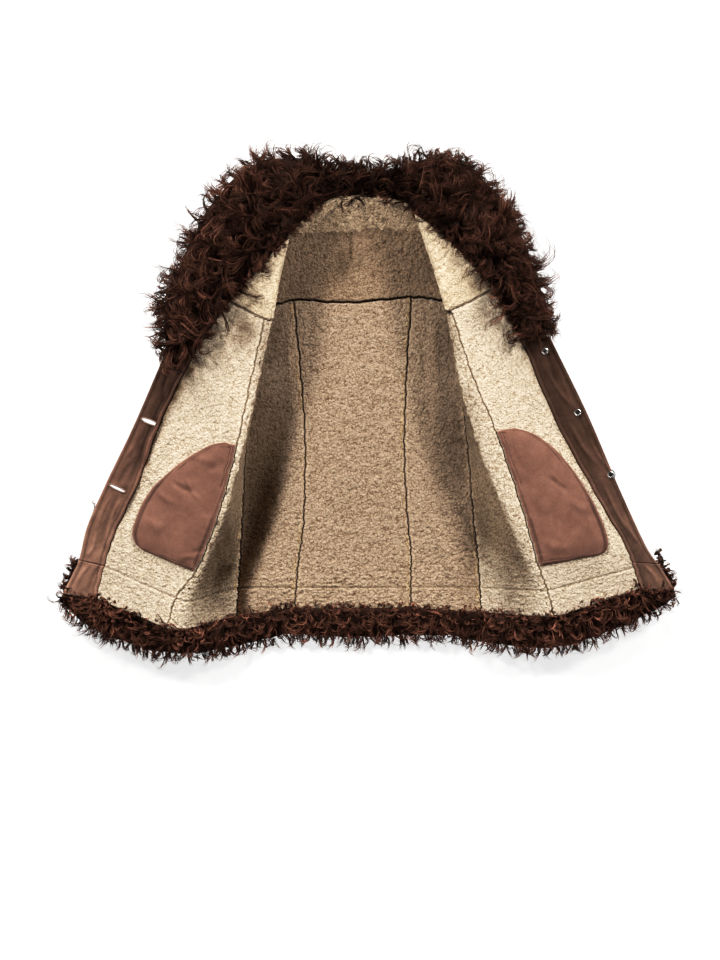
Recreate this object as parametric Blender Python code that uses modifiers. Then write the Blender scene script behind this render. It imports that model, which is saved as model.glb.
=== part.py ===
"""Short sheepskin coat, laid open on its back with the wool side up.

Metres, +Z up.  The coat lies on the plane z = 0: +X is to the right, +Y runs from
hem to collar.  All plan sizes stand on a drawing grid (x to the right, y towards the
hem) whose step is UNIT; heights are in millimetres above the table.

Each body panel is a stretch of one surface.  Ten sewing and folding lines run from
the hem to the yoke seam, with one row per station; a smooth section joins them.
"""
import math

import bmesh
import bpy
import numpy as np
from mathutils import Matrix, Vector

# ---------------------------------------------------------------- named sizes
UNIT = 0.00155            # one step of the drawing grid
ORIGIN = (367.5, 405.0)   # grid point above the part's origin
MM = 0.001
GAP = 0.0003              # clearance between sewn pieces

SKIN = 6.0 * MM           # sheared sheepskin of fronts and sides, leather and pile
BACK_SKIN = 9.0 * MM      # the back before the table flattens it
PLACKET = 4.0 * MM        # two folded layers of suede
BAG = 1.6 * MM            # cotton pocket bag, two layers
BAG_LIFT = 1.0 * MM       # bag above the wool
SLEEVE_WALL = 5.0 * MM
CUFF_WALL = 8.0 * MM      # reach of the cuff's fur from its own inside
SLOT_LONG = 26 * MM       # buttonhole
STEM_HOLE = 2.7 * MM      # radius of the hole for a button's stem
STEPS = 3                 # rows of facets per station
SEAM_T = 0.004            # half gap at a cross seam, in stations
BEND = 4.5 * MM           # softness of the folds: a square fold gets a radius near 2.8 times this

# ---------------------------------------------------------------- section table
# One row per line, one column per station: hem, band (stitched hem line), pocket
# bottom, pocket middle, pocket top, armpit, yoke seam.
STATIONS = ("hem", "band", "pocket_low", "pocket_mid", "pocket_top", "armpit", "yoke")
#                  x on the grid                          y on the grid                          height, mm
LINES = {
    "front_edge_L": ((95.5, 104, 113, 138, 160, 193, 229), (599, 566, 537, 484, 424, 357, 302), (40, 44, 48, 53, 57, 60, 66)),
    "front_seam_L": ((167, 176, 196, 218, 238, 250, 265), (629, 598, 572, 519, 446, 389, 321), (55, 58, 62, 67, 73, 76, 78)),
    "crest_L": ((182, 187, 202, 225, 247, 261, 276), (631, 603, 572, 518, 442, 384, 322), (57, 60, 64, 70, 75, 78, 80)),
    "side_L": ((236, 237.5, 239, 241, 243, 247, 254), (618, 588, 562, 515, 455, 402, 310), (13, 13, 13, 14, 15, 16, 15)),
    "princess_L": ((294, 296, 298, 303.5, 305, 300, 293), (610, 588, 563, 520, 450, 372, 299), (8, 8, 8, 8, 8, 8, 9)),
    "princess_R": ((411, 411, 411.5, 407, 404.5, 407, 412), (610, 588, 560, 508, 445, 374, 296), (8, 8, 8, 8, 8, 8, 9)),
    "side_R": ((481.5, 480.5, 478, 474.5, 470, 465, 461), (614, 588, 552, 520, 452, 400, 302), (13, 13, 13, 14, 15, 16, 15)),
    "crest_R": ((546, 540, 530, 508, 476, 457, 443), (617, 590, 567, 518, 447, 385, 314), (57, 60, 64, 70, 75, 78, 80)),
    "front_seam_R": ((554, 547, 538, 523, 495, 472, 451), (618, 591, 566, 513, 431, 376, 312), (55, 58, 62, 67, 73, 76, 78)),
    "front_edge_R": ((641, 634, 627, 596, 556, 521, 494), (589, 568, 549, 495, 422, 341, 290), (40, 44, 48, 53, 57, 60, 66)),
}
NAMES = tuple(LINES)
EDGE_L, SEAM_L, CREST_L, SIDE_L, PRINC_L, PRINC_R, SIDE_R, CREST_R, SEAM_R, EDGE_R = range(10)

# Free edge of the two plackets, hem to collar (six stations: no yoke).
PLACKETS = {
    "L": dict(x=(62, 78.5, 86, 105, 133, 163), y=(594, 560, 530, 486, 428, 359), z=(36, 40, 44, 49, 53, 56),
              line=EDGE_L, end_at=1.0),
    "R": dict(x=(675, 662, 650, 622, 588, 549), y=(590, 569, 553, 495, 416, 336), z=(36, 40, 44, 49, 53, 56),
              line=EDGE_R, end_at=4 / 3),
}
# Station where the armhole starts, and how far the front reaches past the crest there.
ARMHOLE = dict(station=(0.0, 4.55, 4.8, 5.1, 5.5, 6.0), share=(1.0, 1.0, 0.80, 0.50, 0.36, 0.30))

# Inner outline of the pocket bags: station, and share of the front's width from the seam.
BAG_OUTLINE = dict(station=(2.0, 2.05, 2.14, 2.3, 2.7, 3.0, 3.3, 3.6, 3.8, 3.93, 4.0),
                   L=(0.64, 0.715, 0.775, 0.83, 0.86, 0.83, 0.73, 0.57, 0.42, 0.29, 0.16),
                   R=(0.68, 0.755, 0.80, 0.845, 0.90, 0.915, 0.89, 0.81, 0.67, 0.49, 0.30))

# Back yoke above the yoke seam: columns shoulder_L, neck_L, centre, neck_R, shoulder_R.
YOKE_AT = (3.0, 4.0, 4.5, 5.0, 6.0)
YOKE_DIP = 4.0      # the yoke seam sags this far at the centre back
YOKE = {
    "middle": dict(v=0.5, x=(258, 294, 352, 412, 456), y=(280, 261, 264, 257, 276), z=(13, 10, 9, 10, 13)),
    "neck": dict(v=1.0, x=(262, 298, 356, 415, 450), y=(250, 226.5, 223, 221.5, 248), z=(13, 13, 12, 13, 13)),
}
# Front yokes above the front yoke seam: columns neckline, middle, crest, under edge.
FRONT_YOKE = {
    "L": dict(at=(0.0, 1.0, 2.0, 2.3),
              middle=dict(x=(253, 271, 281.5, 280), y=(274, 280, 283, 282), z=(70, 75, 77, 64)),
              top=dict(x=(270, 281, 290.5, 289), y=(256, 247, 239, 240), z=(70, 75, 74, 54))),
    "R": dict(at=(9.0, 8.0, 7.0, 6.7),
              middle=dict(x=(466, 446, 432, 433.5), y=(257, 266, 272, 271), z=(70, 75, 77, 64)),
              top=dict(x=(435.5, 421, 413.5, 415), y=(229, 220, 215, 214.5), z=(70, 70, 68, 46))),
}
# Shearling band inside the back neck, from the yoke up to the collar.
NECK_BAND = {
    "low": dict(v=0.0, x=(297, 330, 356, 384, 423), y=(225.3, 221.6, 220.8, 218.7, 223.0), z=(14, 15, 15, 15, 14)),
    "roll": dict(v=0.5, x=(304, 333, 357, 384, 421), y=(219.5, 212, 211, 210.5, 217), z=(28, 31, 31, 31, 29)),
    "high": dict(v=1.0, x=(312, 336, 358, 384, 418), y=(213.5, 203, 202, 202.5, 212), z=(36, 38, 38, 38, 34)),
}
# Collar: reach of its fur.  Columns: neckline point, free edge point, lowest and highest mm.
COLLAR = (
    # neck x, neck y, edge x, edge y, low, high
    (192, 354, 166, 356, 58, 80),
    (201, 341, 159, 333, 54, 94),
    (219, 314, 160, 300, 54, 99),
    (241, 286, 174, 265, 54, 101),
    (259, 265, 190, 232, 54, 101),
    (271, 252, 207, 203, 54, 100),
    (283, 239, 236, 171, 50, 97),
    (296, 224, 268, 154, 32, 90),
    (313, 210, 300, 152, 12, 80),
    (335, 201, 331, 163, 6, 66),
    (370, 200, 370, 165, 6, 62),
    (402, 201, 404, 159, 8, 66),
    (415, 210, 431, 153, 22, 80),
    (427, 221, 461, 155, 40, 92),
    (440, 230, 492, 182, 52, 98),
    (455, 243, 518, 213, 54, 100),
    (473, 262, 533, 250, 54, 100),
    (491.5, 284, 545, 289, 54, 98),
    (504.5, 308.5, 551, 315, 54, 94),
    (514, 326, 553, 327, 55, 90),
    (519, 334, 547, 331, 57, 80),
)
COLLAR_GAP = 0.7          # grid steps between the neckline and the fur's reach

# Hem trim: reach of its fur below the hem.  Columns: hem point, free edge point, low, high mm.
HEM_TRIM = {
    "hem_trim_L": (
        (62, 595.2, 57, 605, 22, 46), (79, 597.5, 71, 618, 18, 50), (96, 600.3, 89, 631, 18, 52),
        (130, 615.5, 123, 646, 24, 58), (166, 630, 161, 656, 28, 64), (183, 632.5, 186, 658, 30, 66),
        (208, 627, 212, 655, 16, 54), (235, 619.5, 238, 650, 2, 40)),
    "hem_trim_back": (
        (236.5, 619.5, 239.5, 650, 1, 39), (262, 615.5, 264, 644, 0, 33), (294, 611, 295, 639, 0, 31),
        (352, 611.5, 352, 642, 0, 31), (411, 611, 411, 640, 0, 31), (448, 613.3, 447, 640, 0, 33),
        (480, 615.2, 478, 646, 1, 39)),
    "hem_trim_R": (
        (481.5, 615.2, 479.5, 646, 2, 40), (514, 617, 512, 650, 16, 54), (546, 618.5, 548, 652, 30, 66),
        (555, 619, 559, 651, 30, 65), (598, 605.5, 605, 638, 24, 58), (641, 590.5, 648, 618, 18, 52),
        (658, 591, 663, 611, 18, 50), (675, 591.3, 678, 601, 22, 46)),
}
# Sleeves under the fronts: centre on the grid, heading (x, y on the grid), flat width
# in grid steps, height in mm.  The last two rows are the cuff.
SLEEVES = {
    "L": ((249.0, 342, -0.997, -0.08, 132, 48), (222, 350, -0.95, 0.31, 124, 47), (203, 366, -0.75, 0.66, 102, 46),
          (197, 398, -0.47, 0.88, 74, 45), (188, 437, -0.40, 0.917, 68, 43), (170, 485, -0.40, 0.917, 70, 40),
          (151.5, 526, -0.40, 0.917, 74, 37), (143, 545, -0.40, 0.917, 76, 35)),
    "R": ((464.5, 342, 0.998, -0.06, 130, 48), (493, 350, 0.95, 0.31, 120, 47), (512, 365, 0.75, 0.66, 98, 46),
          (526, 398, 0.47, 0.88, 82, 45), (541, 440, 0.42, 0.907, 82, 43), (560, 484, 0.42, 0.907, 82, 40),
          (578, 522, 0.42, 0.907, 80, 37), (587, 541, 0.42, 0.907, 78, 35)),
}
CUFF_LENGTH, CUFF_GROW = 36.0, 8.0      # grid steps
# Buttonholes: place on the grid, and how far each gapes.
BUTTONHOLES = ((177, 370, 2.6 * MM), (150, 421.5, 6.0 * MM), (117.5, 488, 4.0 * MM))
BUTTONS = ((544, 351), (577, 413), (612, 474))
# Turned button: radius and height (mm) from the placket's inner face, top to bottom.
BUTTON_PROFILE = ((0, 0.5), (2.5, 0.5), (3.3, 1.4), (4.3, 1.9), (5.4, 1.6), (6.0, 0.7), (6.0, 0.35), (2.2, 0.35),
                  (2.2, -4.5), (8.4, -4.5), (8.8, -5.4), (7.6, -7.0), (4.6, -7.9), (0, -8.2))

COLOURS = {
    "wool": ((0.62, 0.47, 0.30), 0.95, 0.0), "suede": ((0.10, 0.052, 0.035), 0.9, 0.0),
    "fur": ((0.055, 0.022, 0.014), 0.8, 0.0), "cotton": ((0.27, 0.11, 0.08), 0.9, 0.0),
    "metal": ((0.72, 0.71, 0.68), 0.25, 1.0),
}


# ---------------------------------------------------------------- mathematics
def pchip(xs, ys, q):
    """Shape-keeping cubic through (xs, ys); ys may have columns."""
    xs, ys, q = np.asarray(xs, float), np.asarray(ys, float), np.asarray(q, float)
    flat = ys.ndim == 1
    ys = ys[:, None] if flat else ys
    h = np.diff(xs)
    d = np.diff(ys, axis=0) / h[:, None]
    m = np.zeros_like(ys)
    if len(xs) == 2:
        m[:] = d[0]
    else:
        w1, w2 = (2 * h[1:] + h[:-1])[:, None], (h[1:] + 2 * h[:-1])[:, None]
        same = d[:-1] * d[1:] > 0
        safe0, safe1 = np.where(same, d[:-1], 1.0), np.where(same, d[1:], 1.0)
        m[1:-1] = np.where(same, (w1 + w2) / (w1 / safe0 + w2 / safe1), 0.0)
        m[0], m[-1] = d[0], d[-1]
    i = np.clip(np.searchsorted(xs, q, side="right") - 1, 0, len(h) - 1)
    u = ((q - xs[i]) / h[i])[:, None]
    hi = h[i][:, None]
    out = (ys[i] * (1 + 2 * u) * (1 - u) ** 2 + ys[i + 1] * u * u * (3 - 2 * u)
           + hi * m[i] * u * (1 - u) ** 2 + hi * m[i + 1] * u * u * (u - 1))
    return out[:, 0] if flat else out


def place(x, y, z_mm):
    """Grid point and height in mm to metres."""
    x, y, z = np.broadcast_arrays(np.asarray(x, float), np.asarray(y, float), np.asarray(z_mm, float))
    return np.stack([(x - ORIGIN[0]) * UNIT, (ORIGIN[1] - y) * UNIT, z * MM], axis=-1)


STATION_T = np.arange(len(STATIONS), dtype=float)
LINE_TABLE = np.stack([place(*LINES[n]) for n in NAMES], axis=1).reshape(len(STATIONS), -1)


def sections(t):
    """The ten line points at each station t."""
    return pchip(STATION_T, LINE_TABLE, t).reshape(len(t), len(NAMES), 3)


def rounded(points, index):
    """Polylines (one per row of points) with their corners rounded, read at a corner index."""
    d = np.diff(points, axis=1)
    length = np.linalg.norm(d, axis=2)
    slope = d / length[..., None]
    c = np.concatenate([np.zeros((len(points), 1)), np.cumsum(length, axis=1)], axis=1)
    i = np.clip(np.floor(index).astype(int), 0, length.shape[1] - 1)
    row = np.arange(len(points))
    at = c[row, i] + (index - i) * length[row, i]
    out = points[:, 0] + slope[:, 0] * at[:, None]
    for j in range(1, length.shape[1]):
        out = out + (slope[:, j] - slope[:, j - 1]) * (BEND * np.logaddexp(0, (at - c[:, j]) / BEND))[:, None]
    return out


def body(s, t):
    """Wool side of the body: s counts lines across, t stations from the hem."""
    p = rounded(sections(t), s)
    p[:, 1] -= YOKE_DIP * UNIT * np.sin(np.pi * np.clip(s - PRINC_L, 0, 1)) * np.clip(t - 5, 0, 1) ** 2
    return p


def unit(v):
    return v / np.linalg.norm(v, axis=-1, keepdims=True)


def body_normal(s, t, eps=0.01):
    return unit(np.cross(body(s + eps, t) - body(s - eps, t), body(s, t + eps) - body(s, t - eps)))


def wall_at(s):
    """Thickness of the skin at line s."""
    return np.interp(s, (0, 3.0, 3.5, 5.5, 6.0, 9), (SKIN, SKIN, BACK_SKIN, BACK_SKIN, SKIN, SKIN))


def body_point(s, t, depth=None):
    """Point on the wool side, or on the leather side with its underside on the table."""
    p = body(s, t)
    if depth is None:
        return p
    q = p - body_normal(s, t) * np.asarray(depth)[..., None]
    q[..., 2] = np.maximum(q[..., 2], 0.0)
    return q


def trim(u, t, low, high):
    """Share u between two lines, kept a half gap inside the seams at both."""
    step = np.linalg.norm(np.diff(sections(t), axis=1), axis=2)
    row = np.arange(len(t))
    a = low + 0.5 * GAP / step[row, np.clip(np.floor(low).astype(int), 0, 8)]
    b = high - 0.5 * GAP / step[row, np.clip(np.ceil(high).astype(int) - 1, 0, 8)]
    return a + (b - a) * u


# ---------------------------------------------------------------- Blender helpers
for old in list(bpy.data.objects):
    bpy.data.objects.remove(old)
parts = bpy.data.collections.new("sheepskin_coat")
helpers = bpy.data.collections.new("cutters")
for collection in (parts, helpers):
    bpy.context.scene.collection.children.link(collection)
MATERIALS = {}


def material(name):
    if name not in MATERIALS:
        colour, rough, metal = COLOURS[name]
        m = bpy.data.materials.new(name)
        m.use_nodes = True
        shader = m.node_tree.nodes["Principled BSDF"]
        shader.inputs["Base Color"].default_value = (*colour, 1)
        shader.inputs["Roughness"].default_value = rough
        shader.inputs["Metallic"].default_value = metal
        m.diffuse_color = (*colour, 1)
        MATERIALS[name] = m
    return MATERIALS[name]


def add(name, bm, colour, collection=parts):
    bmesh.ops.recalc_face_normals(bm, faces=bm.faces[:])
    if sum(f.calc_area() * f.normal.dot(f.calc_center_median()) for f in bm.faces) < 0:
        bmesh.ops.reverse_faces(bm, faces=bm.faces[:])
    mesh = bpy.data.meshes.new(name)
    bm.to_mesh(mesh)
    bm.free()
    mesh.shade_smooth()
    mesh.set_sharp_from_angle(angle=math.radians(50))
    mesh.materials.append(material(colour))
    obj = bpy.data.objects.new(name, mesh)
    collection.objects.link(obj)
    return obj


def sheet(name, across, along, top, under, colour):
    """A wall: a grid whose upper side follows top(u, v) and lower side under(u, v)."""
    bm = bmesh.new()
    bmesh.ops.create_grid(bm, x_segments=across, y_segments=along, size=0.5)
    made = bmesh.ops.extrude_face_region(bm, geom=bm.faces[:], use_keep_orig=True)["geom"]
    lower = {v for v in made if isinstance(v, bmesh.types.BMVert)}
    for side, shape in ((False, top), (True, under)):
        vs = [v for v in bm.verts if (v in lower) == side]
        uv = np.array([(v.co.x + 0.5, v.co.y + 0.5) for v in vs])
        for v, p in zip(vs, shape(uv[:, 0], uv[:, 1])):
            v.co = p
    return add(name, bm, colour)


def ring_solid(name, rows, loop, colour):
    """A solid through closed sections: rows of loop(k, angle) with both ends filled."""
    sides, count = 14, len(rows)
    bm = bmesh.new()
    bmesh.ops.create_grid(bm, x_segments=sides, y_segments=count - 1, size=0.5)
    for v in bm.verts:
        k = int(round((v.co.y + 0.5) * (count - 1)))
        v.co = loop(k, 2 * math.pi * ((v.co.x + 0.5) % 1.0))
    bmesh.ops.remove_doubles(bm, verts=bm.verts[:], dist=1e-6)
    bmesh.ops.holes_fill(bm, edges=[e for e in bm.edges if e.is_boundary], sides=0)
    bmesh.ops.triangulate(bm, faces=bm.faces[:])
    return add(name, bm, colour)


# ---------------------------------------------------------------- body panels
def panel(name, low, high, across, arm=None):
    """Stretch of the body between two lines; arm cuts it back at the armhole."""
    def coords(u, v):
        t = np.minimum(6.0 * v, 6.0 - SEAM_T)
        a, b = np.full_like(t, low), np.full_like(t, high)
        share = pchip(ARMHOLE["station"], ARMHOLE["share"], t)
        if arm == "high":
            b = a + 1 + share
        if arm == "low":
            a = b - 1 - share
        return trim(u, t, a, b), t

    def top(u, v):
        return body_point(*coords(u, v))

    def under(u, v):
        s, t = coords(u, v)
        return body_point(s, t, wall_at(s))

    return sheet(name, across, 6 * STEPS, top, under, "wool")

panel("back_center", PRINC_L, PRINC_R, 4)
panel("back_side_L", SIDE_L, PRINC_L, 5)
panel("back_side_R", PRINC_R, SIDE_R, 5)
panel("side_front_L", SEAM_L, SIDE_L, 8, arm="high")
panel("side_front_R", SIDE_R, SEAM_R, 8, arm="low")
panel("front_L", EDGE_L, SEAM_L, 5)
panel("front_R", SEAM_R, EDGE_R, 5)


# ---------------------------------------------------------------- yokes and neck band
def patch(name, rows, across, along, wall, at=None):
    """Sheet through a few rows of points; with at, the first row is the body's yoke seam."""
    vs = np.array(([0.0] if at else []) + [r["v"] for r in rows])

    def top(u, v):
        index = u * (len(rows[0]["x"]) - 1)
        lines = [rounded(np.repeat(place(r["x"], r["y"], r["z"])[None], len(u), axis=0), index) for r in rows]
        if at:
            lines.insert(0, seam_above(np.interp(index, np.arange(len(at)), at)))
        lines = np.stack(lines)
        return np.stack([pchip(vs, lines[:, i], v[i:i + 1])[0] for i in range(len(u))])

    def under(u, v):
        e = 0.01
        n = unit(np.cross(top(u + e, v) - top(u - e, v), top(u, v + e) - top(u, v - e)))
        if at:
            s = np.interp(u * (len(at) - 1), np.arange(len(at)), at)
            w = np.clip(v / 0.4, 0, 1)[:, None]
            n = unit(n * w + body_normal(s, np.full_like(s, 6.0)) * (1 - w))
        q = top(u, v) - n * wall
        q[:, 2] = np.maximum(q[:, 2], 0)
        return q

    return sheet(name, across, along, top, under, "wool")


def seam_above(s):
    return body_point(s, np.full_like(s, 6.0)) + np.array([0, 7 * GAP, 0])


patch("back_yoke", [YOKE["middle"], YOKE["neck"]], 12, 5, BACK_SKIN, YOKE_AT)
for side, turn in (("L", 1), ("R", -1)):
    f = FRONT_YOKE[side]
    rows = []
    for v, key in ((0.5, "middle"), (1.0, "top")):
        rows.append(dict(v=v, **{c: f[key][c][::turn] for c in "xyz"}))
    patch("front_yoke_" + side, rows, 9, 6, SKIN, f["at"][::turn])
patch("neck_band", list(NECK_BAND.values()), 8, 5, SKIN)

# ---------------------------------------------------------------- plackets with their ends
STATION_5 = np.arange(6.0)


def placket_point(side, u, t, depth=0.0):
    """u runs from the free edge to the front's edge."""
    p = PLACKETS[side]
    free = pchip(STATION_5, place(p["x"], p["y"], p["z"]), t)
    edge = body(np.full_like(t, p["line"]), t)
    across = edge - free
    width = np.linalg.norm(across, axis=1, keepdims=True)
    out = free + across * (u[:, None] * (1 - GAP / width))
    out[:, 2] += 0.0016 * np.sin(np.pi * u)          # the folded edges roll under
    e = 0.02
    along = (pchip(STATION_5, place(p["x"], p["y"], p["z"]), np.clip(t + e, 0, 5))
             - pchip(STATION_5, place(p["x"], p["y"], p["z"]), np.clip(t - e, 0, 5)))
    n = np.cross(across, along) * (1 if side == "L" else -1)
    n /= np.linalg.norm(n, axis=1, keepdims=True)
    return out - n * depth


for side, p in PLACKETS.items():
    for name, t0, t1 in (("placket_end_", 0.0, p["end_at"]), ("placket_", p["end_at"], 5.0)):
        def step(v, a=t0, b=t1):
            return np.clip(a + (b - a) * v, a + (SEAM_T if a else 0.0), b - SEAM_T)

        sheet(name + side, 4, round((t1 - t0) * STEPS),
              lambda u, v, s=side, f=step: placket_point(s, u, f(v)),
              lambda u, v, s=side, f=step: placket_point(s, u, f(v), PLACKET), "suede")


def on_placket(side, gx, gy, square=False):
    """Frame on the placket over a grid point: z out of the inner face, x across, or square across."""
    u, t = np.meshgrid(np.linspace(0.1, 0.9, 33), np.linspace(0.2, 4.98, 240))
    u, t = u.ravel(), t.ravel()
    p = placket_point(side, u, t)
    i = int(np.argmin(np.linalg.norm(p[:, :2] - place(gx, gy, 0)[:2], axis=1)))
    at, step = np.array([u[i]]), np.array([t[i]])
    across = Vector((placket_point(side, at + 0.05, step) - placket_point(side, at - 0.05, step))[0])
    along = Vector((placket_point(side, at, step + 0.05) - placket_point(side, at, step - 0.05))[0])
    z = Vector((placket_point(side, at, step) - placket_point(side, at, step, 0.001))[0]).normalized()
    x = along.cross(z).normalized() if square else across.normalized()
    x = -x if x.dot(across) < 0 else x
    y = z.cross(x).normalized()
    m = Matrix((x, y, z)).transposed().to_4x4()
    m.translation = Vector(p[i])
    return m


def cut(target, cutter):
    cutter.hide_render = True
    cutter.display_type = "WIRE"
    modifier = target.modifiers.new("cut", "BOOLEAN")
    modifier.operation = "DIFFERENCE"
    modifier.object = cutter


def slot_cutter(name, frame, gape):
    """Buttonhole that gapes: a cylinder drawn out to a lens."""
    bm = bmesh.new()
    bmesh.ops.create_cone(bm, cap_ends=True, segments=14, radius1=0.5, radius2=0.5, depth=0.03)
    bmesh.ops.scale(bm, vec=(SLOT_LONG, gape, 1), verts=bm.verts[:])
    obj = add(name, bm, "suede", helpers)
    obj.matrix_world = frame
    return obj


for k, (gx, gy, gape) in enumerate(BUTTONHOLES, 1):
    cut(bpy.data.objects["placket_L"], slot_cutter(f"slot_{k}", on_placket("L", gx, gy, True), gape))

for k, (gx, gy) in enumerate(BUTTONS, 1):
    frame = on_placket("R", gx, gy)
    bm = bmesh.new()
    bmesh.ops.create_cone(bm, cap_ends=True, segments=14, radius1=STEM_HOLE, radius2=STEM_HOLE, depth=0.03)
    hole = add(f"stem_hole_{k}", bm, "suede", helpers)
    hole.matrix_world = frame
    cut(bpy.data.objects["placket_R"], hole)
    bm = bmesh.new()
    points = [bm.verts.new((r * MM, 0, h * MM)) for r, h in BUTTON_PROFILE]
    for a, b in zip(points, points[1:]):
        bm.edges.new((a, b))
    mesh = bpy.data.meshes.new(f"button_{k}")
    bm.to_mesh(mesh)
    bm.free()
    mesh.materials.append(material("metal"))
    button = bpy.data.objects.new(f"button_{k}", mesh)
    parts.objects.link(button)
    button.matrix_world = frame
    turn = button.modifiers.new("turn", "SCREW")
    turn.axis, turn.angle = "Z", 2 * math.pi
    turn.steps = turn.render_steps = 16
    turn.use_merge_vertices, turn.merge_threshold = True, 1e-5
    turn.use_smooth_shade = True

# ---------------------------------------------------------------- pocket bags
for side, line, sign in (("L", SEAM_L, -1), ("R", SEAM_R, 1)):
    def bag(u, v, lift, side=side, line=line, sign=sign):
        t = 2.0 + 2.0 * v
        share = pchip(BAG_OUTLINE["station"], BAG_OUTLINE[side], t)
        s = line + sign * (0.012 + (share - 0.012) * u)
        return body_point(s, t) + body_normal(s, t) * lift

    def bag_top(u, v, f=bag):
        puff = 0.0035 * np.sin(np.pi * np.clip(u, 0, 1)) * np.sin(np.pi * np.clip(v, 0, 1)) ** 0.7
        return f(u, v, (BAG_LIFT + BAG + puff)[:, None] if np.ndim(puff) else BAG_LIFT + BAG)

    sheet("pocket_bag_" + side, 6, 12, bag_top, lambda u, v, f=bag: f(u, v, BAG_LIFT), "cotton")


# ---------------------------------------------------------------- fur collar and hem trim
def fur_loop(rows, power, gap=0.0):
    """Rounded section between an inner and a free edge point, from low to high."""
    def loop(k, angle):
        nx, ny, ex, ey, low, high = rows[k]
        a, b = place(nx, ny, 0), place(ex, ey, 0)
        across = b - a
        a = a + across / np.linalg.norm(across) * gap
        c, s = math.cos(angle), math.sin(angle)
        f = lambda w: math.copysign(abs(w) ** (2 / power), w)
        p = (a + b) / 2 + (b - a) / 2 * f(c)
        p[2] = ((low + high) / 2 + (high - low) / 2 * f(s)) * MM
        return Vector(p)
    return loop


ring_solid("collar", COLLAR, fur_loop(COLLAR, 3.0, COLLAR_GAP * UNIT), "fur")
for name, rows in HEM_TRIM.items():
    ring_solid(name, rows, fur_loop(rows, 3.0), "fur")


# ---------------------------------------------------------------- sleeves and cuffs
def tube(name, rows, wall, colour, rings, power=3.0, sides=16):
    """Flattened hollow tube through rows (x, y, heading x, heading y, width, height)."""
    table = np.array(rows, float)
    k = np.arange(len(table), dtype=float)

    def ring(u, v, inset):
        r = pchip(k, table, v * (len(table) - 1))
        angle = 2 * np.pi * (u % 1.0)
        f = lambda w: np.sign(w) * np.abs(w) ** (2 / power)
        head = r[:, 2:4] / np.linalg.norm(r[:, 2:4], axis=1, keepdims=True)
        half = r[:, 4] / 2 - inset / UNIT
        side = f(np.cos(angle)) * half
        x = r[:, 0] - head[:, 1] * side
        y = r[:, 1] + head[:, 0] * side
        z = r[:, 5] / 2 + f(np.sin(angle)) * (r[:, 5] / 2 - inset / MM)
        return place(x, y, z)

    # One closed skin: along the outside, round the rim, back along the inside.
    bm = bmesh.new()
    bmesh.ops.create_grid(bm, x_segments=sides, y_segments=2 * rings, size=0.5)
    vs = bm.verts[:]
    u = np.array([v.co.x + 0.5 for v in vs])
    j = np.array([round((v.co.y + 0.5) * 2 * rings) % (2 * rings) for v in vs])
    inside = j >= rings
    v = np.where(inside, 2 * rings - 1 - j, j) / (rings - 1)
    for vert, p in zip(vs, ring(u, v, np.where(inside, wall, 0.0))):
        vert.co = p
    bmesh.ops.remove_doubles(bm, verts=bm.verts[:], dist=1e-6)
    return add(name, bm, colour)


for side, rows in SLEEVES.items():
    tube("sleeve_" + side, rows, SLEEVE_WALL, "suede", 11)
    x, y, hx, hy, width, height = rows[-1]
    norm = math.hypot(hx, hy)
    hx, hy = hx / norm, hy / norm
    start = 2 * GAP / UNIT
    cuff = [(x + hx * d, y + hy * d, hx, hy, width + CUFF_GROW * d / CUFF_LENGTH, height + 1.0 * d / CUFF_LENGTH)
            for d in (start, CUFF_LENGTH / 2, CUFF_LENGTH)]
    tube("cuff_" + side, cuff, CUFF_WALL, "fur", 3)
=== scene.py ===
"""Looks of the sheepskin coat: shearling, suede, cotton twill, curly fur, seams and stitches.

The shapes repeat the sizes of the model: plan sizes stand on a drawing grid (x to the right,
y towards the hem, one step is UNIT), heights are in millimetres above the table.
"""
import math

import bpy
import numpy as np
from mathutils import Matrix, Vector


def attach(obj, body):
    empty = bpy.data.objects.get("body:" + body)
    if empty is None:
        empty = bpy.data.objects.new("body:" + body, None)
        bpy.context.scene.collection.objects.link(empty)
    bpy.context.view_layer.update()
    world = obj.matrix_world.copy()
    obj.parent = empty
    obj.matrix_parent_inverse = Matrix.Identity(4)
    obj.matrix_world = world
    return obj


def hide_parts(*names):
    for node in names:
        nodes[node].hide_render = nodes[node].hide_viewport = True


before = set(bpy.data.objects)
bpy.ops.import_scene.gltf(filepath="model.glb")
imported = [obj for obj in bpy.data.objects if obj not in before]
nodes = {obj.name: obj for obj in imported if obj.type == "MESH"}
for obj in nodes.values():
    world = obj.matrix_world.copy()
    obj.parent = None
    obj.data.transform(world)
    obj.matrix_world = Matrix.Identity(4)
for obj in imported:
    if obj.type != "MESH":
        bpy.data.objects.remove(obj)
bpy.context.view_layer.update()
scene = bpy.context.scene

# ================================================================ sizes of the model
UNIT = 0.00155
ORIGIN = (367.5, 405.0)
MM = 0.001
GAP = 0.0003
SKIN, BACK_SKIN, PLACKET = 6.0 * MM, 9.0 * MM, 4.0 * MM
BAG, BAG_LIFT = 1.6 * MM, 1.0 * MM
SLEEVE_WALL, CUFF_WALL = 5.0 * MM, 8.0 * MM
SLOT_LONG = 26 * MM
BEND = 4.5 * MM
SEAM_T = 0.004
SEAM_WAVER = 1.7 * MM

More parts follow.
